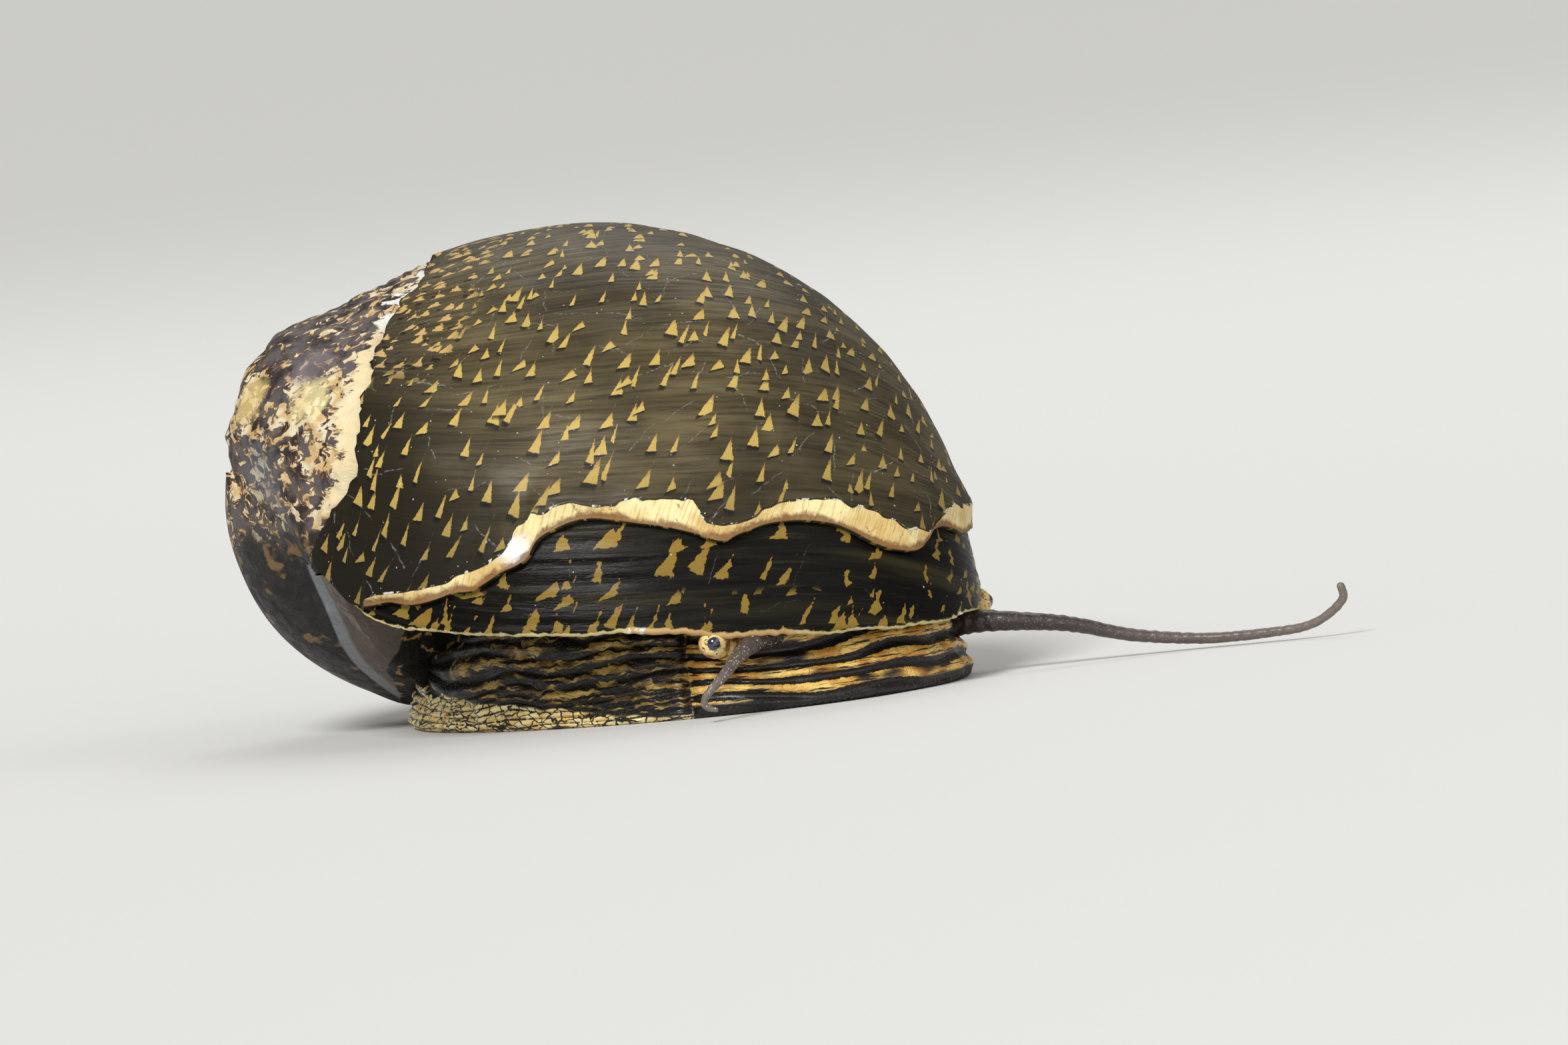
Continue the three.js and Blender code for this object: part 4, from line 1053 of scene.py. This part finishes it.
# Flesh: an oval foot with a head at its front, feelers and eye stalks, all one skin.
FOOT_LONG = 10.9
FOOT_WIDE = 8.2
FOOT_POWER = 2.15
FOOT_SIDE = [
    [0, 0.985], [0.3, 1], [1.0, 0.985], [1.8, 0.96], [2.8, 0.93], [3.6, 0.86], [4.4, 0.72], [4.9, 0.5],
]
FOOT_TOP = 4.9
CREASE_X = 6.8
FEELER_RIGHT = [
    [8.42, -3.7, 2.5, 0.37], [8.95, -5.35, 2.47, 0.33], [9.3, -6.66, 2.1, 0.245], [9.45, -7.5, 1.62, 0.19],
    [9.4, -8.13, 1.2, 0.15], [9.2, -8.42, 0.82, 0.125], [9.19, -8.34, 0.55, 0.105], [9.42, -8.04, 0.4, 0.08],
]
FEELER_LEFT = [
    [8.2, 4.6, 1.85, 0.4], [9.6, 5.3, 1.8, 0.34], [11.35, 7.1, 1.42, 0.27], [12.75, 8.9, 0.75, 0.22],
    [14.5, 10.5, 0.37, 0.19], [16.35, 11.5, 0.34, 0.17], [18.0, 12.3, 0.5, 0.15], [19.05, 12.8, 1.2, 0.15],
    [19.2, 12.65, 1.85, 0.14],
]
STALK_LEFT = [[6.6, 4.2, 2.3, 0.6], [7.25, 5.5, 2.3, 0.6], [7.6, 6.2, 2.3, 0.58]]
STALK_RIGHT = [[7.0, -4.0, 2.45, 0.6], [7.75, -5.35, 2.45, 0.6], [8.06, -6.12, 2.5, 0.58]]
EYE_LEFT = [7.9, 6.8, 2.35]
EYE_RIGHT = [8.29, -6.78, 2.55]
EYE_RADIUS = 0.34
CUP_RADIUS = 0.55  # the swollen stalk end round the eye
CUP_BACK = 0.27  # how far its middle lies behind the eye's


def eye_look(middle):
    """The way an eye looks: out to its own side and a little ahead and up."""
    way = np.array([0.68, np.sign(middle[1]) * 0.74, 0.06])
    return way / np.linalg.norm(way)


def foot_and_head():
    """The foot and head: an oval whose size follows the height, flat below, closed above inside the shell.
    Long level folds stand out of it, a crease parts head from foot, and fine pleats run round the sole."""
    turn = np.linspace(-np.pi, np.pi, 620, endpoint=False)[None, :]
    c, s = np.cos(turn), np.sin(turn)
    oval = (abs(c) ** FOOT_POWER + abs(s) ** FOOT_POWER) ** (-1 / FOOT_POWER)
    x, y = FOOT_LONG * oval * c, FOOT_WIDE * oval * s
    half = np.linspace(0, np.pi, 400)
    ch, sh = np.cos(half), np.sin(half)
    oh = (abs(ch) ** FOOT_POWER + abs(sh) ** FOOT_POWER) ** (-1 / FOOT_POWER)
    hx, hy = FOOT_LONG * oh * ch, FOOT_WIDE * oh * sh
    length = np.concatenate([[0], np.cumsum(np.hypot(np.diff(hx), np.diff(hy)))])
    crease = np.interp(-CREASE_X, -hx, length)
    ahead = crease - np.interp(abs(turn), half, length)
    sole = np.linspace(0.05, 0.96, 10)
    high = np.concatenate([np.zeros(10), [0.0, 0.05], np.linspace(0.1, FOOT_TOP, 96), np.full(8, FOOT_TOP)])[:, None]
    share = np.concatenate([sole, [0.985, 0.995], np.ones(96), np.linspace(0.95, 0.05, 8)])[:, None]
    side = through(FOOT_SIDE, high)
    place = np.stack([x * side, y * side, high + 0 * x], -1)
    head = smooth(ahead, -0.3, 0.3)
    slow = waves(place * [0.3, 0.3, 0.8], 1.15, 31)
    slower = waves(place * [0.25, 0.25, 0.5], 2.2, 32)
    folds_head = np.sin(2 * np.pi * ((high - 0.52) / 0.6 + 0.16 * slow + 0.3 * slower))
    folds_high = np.sin(2 * np.pi * (high / 0.45 + 0.25 * slow + 0.5 * slower))
    folds_low = np.sin(2 * np.pi * (high / 0.26 + 0.3 * slow + 0.4 * slower))
    low = smooth(high, 1.3, 0.9)
    folds_foot = folds_low * low + folds_high * (1 - low)
    folds = folds_head * head + folds_foot * (1 - head)
    deep = 0.08 * head + 0.05 * (1 - head)
    sides = smooth(high, 0.05, 0.3) * smooth(high, FOOT_TOP, 4.0)
    out = -0.12 + deep * folds * sides - 0.3 * np.exp(-((ahead / 0.22) ** 2)) * sides
    pleat = np.sin(2 * np.pi * (ahead / 0.23 + 0.4 * waves(place, 0.9, 33)))
    out = out + 0.035 * pleat * np.exp(-((high / 0.3) ** 2)) * (share > 0.9)
    out = out + 0.05 * waves(place, 1.4, 34) * sides
    long = np.hypot(x, y)
    rings = np.stack([x * (side * share + out * share / long), y * (side * share + out * share / long), high + 0 * x], -1)
    skin = np.stack([ahead + 0 * high, high + 0 * x, head + 0 * high], -1)
    kind = np.stack([0 * folds, 0 * folds, folds], -1)
    return rings, {"skin": skin, "kind": kind}


def curve(guides, count):
    """Even steps along a smooth curve through guide points, radius included."""
    guides = np.asarray(guides, float)
    place = np.arange(len(guides))
    fine = np.linspace(0, len(guides) - 1, 400)
    points = np.stack([through(np.stack([place, guides[:, k]], -1), fine) for k in range(4)], -1)
    length = np.concatenate([[0], np.cumsum(np.linalg.norm(np.diff(points[:, :3], axis=0), axis=1))])
    even = np.linspace(0, length[-1], count)
    return np.stack([np.interp(even, length, points[:, k]) for k in range(4)], -1), even


def tube(guides, count, around, kind, seed, root=0.0):
    """A feeler or stalk: circles square to a curve, wider at the root and wrinkled across, with a round tip."""
    path, even = curve(guides, count)
    way = np.gradient(path[:, :3], axis=0)
    way = way / np.linalg.norm(way, axis=1, keepdims=True)
    side = np.cross(way, [0.7, -0.7, 0.1])
    side = side / np.linalg.norm(side, axis=1, keepdims=True)
    up = np.cross(side, way)
    left = even[-1] - even
    radius = path[:, 3] * (1 + root * np.exp(-((even / 1.6) ** 2)))
    tip = path[-1, 3]
    radius = radius * np.sqrt(np.clip(1 - np.clip(1 - left / tip, 0, 1) ** 2, 0.02, 1))
    turn = np.linspace(0, 2 * np.pi, around, endpoint=False)
    ring = np.cos(turn)[None, :, None] * side[:, None] + np.sin(turn)[None, :, None] * up[:, None]
    surface = path[:, None, :3] + ring * radius[:, None, None]
    wrinkle = 1 + 0.03 * waves(even[:, None] * [1.0], 0.35, seed)[:, None] + 0.03 * waves(surface, 0.3, seed + 1)
    surface = path[:, None, :3] + ring * (radius[:, None] * wrinkle)[..., None]
    share = np.broadcast_to((even / even[-1])[:, None], surface.shape[:2])
    along = np.broadcast_to(even[:, None], surface.shape[:2])
    skin = np.stack([along, surface[..., 2], share], -1)
    mark = np.stack([share * 0 + kind[0], share * 0 + kind[1], share], -1)
    return surface, {"skin": skin, "kind": mark}


def skin_finish():
    """Wet skin: black with wavy ochre stripes on the head, pale cracked cells low on the foot and brown streaks above
    them, with painted shade near black high up under the shell; grey-purple feelers with white specks; amber eye
    stalks."""
    finish, r, shader = new_finish("snail_skin", 0.4, 0.36, 0.22, 0.15)
    place = r.place()
    ahead, high, head = r.parts(r.attribute("skin"))
    feeler, stalk, folds = r.parts(r.attribute("kind"))
    around = r.joined(ahead, high)
    fine = r.noise(place, 4.5, 4.0, 0.7)
    ragged = r.math("MULTIPLY", r.math("SUBTRACT", fine, 0.5), 1.6)
    # Head: stripes on the folds, with thin dark lines in them.
    stripe = r.step(r.math("ADD", folds, ragged), -0.12, 0.06)
    thin = r.noise(r.scale(around, (0.7, 10.0, 0.0)), 1.0, 4.0, 0.65)
    stripe = r.math("MULTIPLY", stripe, r.step(thin, 0.41, 0.45))
    gone = r.noise(r.scale(around, (0.35, 0.9, 0.0)), 0.9, 2.0)
    stripe = r.math("MULTIPLY", stripe, r.step(gone, 0.36, 0.46))
    stripe = r.math("MULTIPLY", stripe, r.step(high, 0.38, 0.5))
    orange = r.mix(r.step(r.noise(place, 1.2, 3.0), 0.35, 0.65), (0.50, 0.235, 0.030, 1), (0.80, 0.54, 0.15, 1))
    head_tint = r.mix(stripe, (0.005, 0.004, 0.003, 1), orange)
    # Foot: cells below, streaks above.
    bent = r.vector("ADD", around, r.scale(r.joined(r.noise(place, 1.1), r.noise(place, 1.7)), (0.7, 0.5, 0)))
    cells = r.add("ShaderNodeTexVoronoi", {"Vector": r.scale(bent, (2.0, 3.3, 0.0)), "Scale": 1.0},
                  feature="DISTANCE_TO_EDGE", voronoi_dimensions="2D").outputs["Distance"]
    crack = r.step(r.math("ADD", cells, r.math("MULTIPLY", ragged, 0.035)), 0.035, 0.09)
    level = r.noise(r.scale(bent, (0.5, 3.4, 0.0)), 1.0, 2.0)
    crack = r.math("MULTIPLY", crack, r.step(level, 0.37, 0.41))
    crack = r.math("MULTIPLY", crack, r.step(r.math("ADD", folds, ragged), -0.85, -0.6))
    pale = r.mix(r.step(r.noise(place, 1.5, 3.0), 0.35, 0.65), (0.76, 0.52, 0.17, 1), (0.93, 0.80, 0.43, 1))
    cell_tint = r.mix(crack, (0.005, 0.004, 0.002, 1), pale)
    streak = r.noise(r.scale(bent, (0.5, 4.6, 0.0)), 1.0, 4.0, 0.62)
    streak = r.math("MULTIPLY_ADD", folds, 0.04, streak)
    brown = r.mix(r.step(r.noise(place, 1.6, 3.0), 0.35, 0.65), (0.10, 0.048, 0.010, 1), (0.50, 0.33, 0.08, 1))
    streak_tint = r.mix(r.step(streak, 0.50, 0.57), (0.005, 0.004, 0.003, 1), brown)
    rear = r.step(r.math("MULTIPLY_ADD", high, 1.4, r.math("MULTIPLY", ahead, -1.0)), 13.6, 14.8)
    dot = r.step(r.noise(place, 1.9, 2.0), 0.6, 0.66)
    streak_tint = r.mix(rear, streak_tint, r.mix(dot, (0.004, 0.004, 0.003, 1), (0.36, 0.22, 0.06, 1)))
    limit = r.math("MULTIPLY_ADD", ahead, -0.105, 0.1)
    limit = r.math("ADD", limit, r.math("MULTIPLY", r.math("SUBTRACT", r.noise(place, 0.6, 2.0), 0.5), 0.7))
    over = r.math("SUBTRACT", high, limit)
    foot_tint = r.mix(r.step(over, -0.04, 0.04), cell_tint, streak_tint)
    line = r.math("SUBTRACT", 1.0, r.step(r.math("ABSOLUTE", r.math("SUBTRACT", over, 0.08)), 0.03, 0.14))
    foot_tint = r.mix(line, foot_tint, (0.006, 0.005, 0.004, 1))
    colour = r.mix(r.step(head, 0.4, 0.6), foot_tint, head_tint)
    # Painted shade: the skin goes near black high up, under the shell.
    colour = r.mix(r.step(high, 3.1, 3.9), colour, (0.012, 0.010, 0.009, 1))
    # Feelers and stalks.
    dots = r.group(SPECKS, {"Place": place, "Size": 12.0, "Kept": 0.6, "Radius": 0.4})["Mask"]
    grey = r.mix(r.noise(place, 2.0, 3.0), (0.052, 0.038, 0.033, 1), (0.13, 0.098, 0.084, 1))
    grey = r.mix(r.step(head, 0.55, 0.2), grey, (0.030, 0.020, 0.018, 1))
    grey = r.mix(r.step(head, 0.5, 1.0), grey, (0.16, 0.13, 0.11, 1))
    x, y, _ = r.parts(place)
    specked = r.math("MULTIPLY", dots, r.step(y, 3.0, -3.0, 0.12, 0.7))
    grey = r.mix(specked, grey, (0.60, 0.54, 0.44, 1))
    colour = r.mix(feeler, colour, grey)
    amber = r.mix(r.step(r.noise(place, 2.6, 4.0, 0.6), 0.42, 0.6), (0.26, 0.11, 0.02, 1), (0.66, 0.46, 0.16, 1))
    ring = r.step(r.math("MULTIPLY_ADD", r.math("SUBTRACT", fine, 0.5), 0.05, folds), 0.93, 0.95)
    speckled = r.mix(r.step(r.noise(place, 9.0, 2.0), 0.56, 0.64), (0.80, 0.60, 0.24, 1), (0.10, 0.05, 0.02, 1))
    amber = r.mix(ring, amber, speckled)
    colour = r.mix(stalk, colour, amber)
    r.feed(shader.inputs["Base Color"], colour)
    r.feed(shader.inputs["Roughness"], r.step(fine, 0.3, 0.7, 0.3, 0.5))
    flesh = r.math("MULTIPLY", r.math("ADD", crack, stripe), r.math("SUBTRACT", 1.0, r.math("MAXIMUM", feeler, stalk)))
    height = r.math("ADD", flesh, r.math("ADD", fine, r.math("MULTIPLY", dots, feeler)))
    r.feed(shader.inputs["Normal"], r.bump(height, 0.06, 0.7))
    return finish


def skin():
    """One skin over the foot, head, feelers and eye stalks."""
    bodies = [foot_and_head()]
    for guides, count, seed in ((FEELER_RIGHT, 170, 41), (FEELER_LEFT, 330, 43)):
        bodies.append(tube(guides, count, 32, (1, 0), seed, 0.2))
    for guides, middle, seed in ((STALK_RIGHT, EYE_RIGHT, 45), (STALK_LEFT, EYE_LEFT, 47)):
        look = eye_look(middle)
        behind = np.array(middle) - look * (CUP_BACK + 0.1)
        pole = np.array(middle) + look * (CUP_RADIUS - CUP_BACK)
        bodies.append(tube(guides[:-1] + [[*behind, 0.5], [*pole, CUP_RADIUS]], 90, 48, (0, 1), seed))
    return put_mesh("snail_skin", bodies, skin_finish(), [
        "foot", "head", "feeler_right_base", "feeler_right_tip", "feeler_left_base", "feeler_left_middle",
        "feeler_left_tip", "eye_stalk_left", "eye_stalk_right",
    ])


def eye_finish():
    """A wet blue-black pupil in a cream, speckled rim: rings round the way the eye looks."""
    finish, r, shader = new_finish("snail_eye", 0.08, 0.6, 1.0, 0.03)
    looks, _, _ = r.parts(r.attribute("looks"))
    place = r.place()
    rough = r.math("MULTIPLY", r.math("SUBTRACT", r.noise(place, 6.0, 3.0), 0.5), 0.2)
    blue = r.mix(r.noise(place, 3.0, 3.0), (0.002, 0.003, 0.006, 1), (0.018, 0.035, 0.07, 1))
    rim = r.mix(r.step(r.noise(place, 8.0, 2.0), 0.45, 0.6), (0.3, 0.16, 0.04, 1), (0.75, 0.62, 0.36, 1))
    r.feed(shader.inputs["Base Color"], r.mix(r.step(r.math("ADD", looks, rough), 0.7, 0.76), rim, blue))
    r.feed(shader.inputs["Normal"], r.bump(r.noise(place, 5.0, 3.0), 0.01, 0.4))
    return finish


def eye(name, middle, finish):
    """An eyeball: rings round the way it looks, swelling a little at the pupil."""
    middle = np.array(middle)
    look = eye_look(middle)
    side = np.cross(look, [0, 0, 1])
    side = side / np.linalg.norm(side)
    up = np.cross(side, look)
    down = np.linspace(0.03, np.pi - 0.03, 48)[:, None]
    turn = np.linspace(0, 2 * np.pi, 64, endpoint=False)[None, :]
    swell = EYE_RADIUS * (1 + 0.05 * np.exp(-((down / 0.6) ** 2)) - 0.05)
    way = np.cos(down)[..., None] * look + np.sin(down)[..., None] * (
        np.cos(turn)[..., None] * side + np.sin(turn)[..., None] * up)
    rings = middle + way * swell[..., None]
    looks = np.stack([np.cos(down) + 0 * turn] * 3, -1)
    return put_mesh(name + "_ball", [(rings, {"looks": looks})], finish, [name])


last_whorl()
new_growth()
spire()
skin()
eye_black = eye_finish()
eye("eye_right", EYE_RIGHT, eye_black)
eye("eye_left", EYE_LEFT, eye_black)

# Camera: level with the snail, turned with it as the photograph is.
AIM_AZIMUTH = np.radians(45)
AIM_HEIGHT = np.radians(3)
ROLL = np.radians(6.5)
DISTANCE = 500.0
LENS = 332.7
SENSOR = 36.0
SHIFT_RIGHT = 3.20
SHIFT_UP = 6.19


def camera():
    """A long lens far off. Its picture's middle lies a little right of and above the sole's middle."""
    away = np.array([np.sin(AIM_AZIMUTH) * np.cos(AIM_HEIGHT), -np.cos(AIM_AZIMUTH) * np.cos(AIM_HEIGHT), np.sin(AIM_HEIGHT)])
    level = np.array([np.cos(AIM_AZIMUTH), np.sin(AIM_AZIMUTH), 0])
    upright = np.cross(away, level)
    right = np.cos(ROLL) * level - np.sin(ROLL) * upright
    up = np.sin(ROLL) * level + np.cos(ROLL) * upright
    target = right * SHIFT_RIGHT + up * SHIFT_UP
    data = bpy.data.cameras.new("camera")
    data.lens = LENS
    data.sensor_width = SENSOR
    data.clip_start = 0.01
    data.clip_end = 50
    eye = bpy.data.objects.new("camera", data)
    turn = Matrix((right, up, away)).transposed().to_4x4()
    eye.matrix_world = Matrix.Translation(Vector((target + away * DISTANCE) * MM)) @ turn
    bpy.context.scene.collection.objects.link(eye)
    bpy.context.scene.camera = eye


def floor():
    """A pale, even floor that reaches past the picture's edges."""
    finish, r, shader = new_finish("pale_floor", 0.7, 0.2)
    r.feed(shader.inputs["Base Color"], (0.72, 0.72, 0.70, 1))
    mesh = bpy.data.meshes.new("floor")
    wide = 12.0
    mesh.from_pydata([(-wide, -wide, 0), (wide, -wide, 0), (wide, wide, 0), (-wide, wide, 0)], [], [(0, 1, 2, 3)])
    mesh.materials.append(finish)
    piece = bpy.data.objects.new("floor", mesh)
    bpy.context.scene.collection.objects.link(piece)


def light(name, azimuth, height, distance, size, power, colour=(1, 1, 1)):
    """A soft square light at an angle round the snail, turned to face it."""
    a, e = np.radians(azimuth), np.radians(height)
    away = Vector((np.sin(a) * np.cos(e), -np.cos(a) * np.cos(e), np.sin(e)))
    data = bpy.data.lights.new(name, "AREA")
    data.shape = "SQUARE"
    data.size = size
    data.energy = power
    data.color = colour
    lamp = bpy.data.objects.new(name, data)
    lamp.matrix_world = Matrix.Translation(away * distance + Vector((0, 0, 0.008))) @ away.to_track_quat("Z", "Y").to_matrix().to_4x4()
    bpy.context.scene.collection.objects.link(lamp)


def sun(azimuth, height, strength, angle):
    """A broad sun, so that the floor is evenly lit as far as the picture goes."""
    a, e = np.radians(azimuth), np.radians(height)
    away = Vector((np.sin(a) * np.cos(e), -np.cos(a) * np.cos(e), np.sin(e)))
    data = bpy.data.lights.new("key", "SUN")
    data.energy = strength
    data.angle = np.radians(angle)
    lamp = bpy.data.objects.new("key", data)
    lamp.matrix_world = away.to_track_quat("Z", "Y").to_matrix().to_4x4()
    bpy.context.scene.collection.objects.link(lamp)


def studio():
    world = bpy.data.worlds.new("soft_room")
    world.use_nodes = True
    back = world.node_tree.nodes["Background"]
    back.inputs[0].default_value = (0.95, 0.94, 0.91, 1)
    back.inputs[1].default_value = 0.3
    bpy.context.scene.world = world
    sun(22, 42, 2.75, 22)
    light("fill", 60, 9, 0.5, 0.35, 0.6)
    light("side", 100, 35, 0.5, 0.3, 0.35)
    light("rim", 215, 50, 0.5, 0.3, 0.5)


camera()
floor()
studio()
bpy.context.scene.view_settings.view_transform = "Standard"
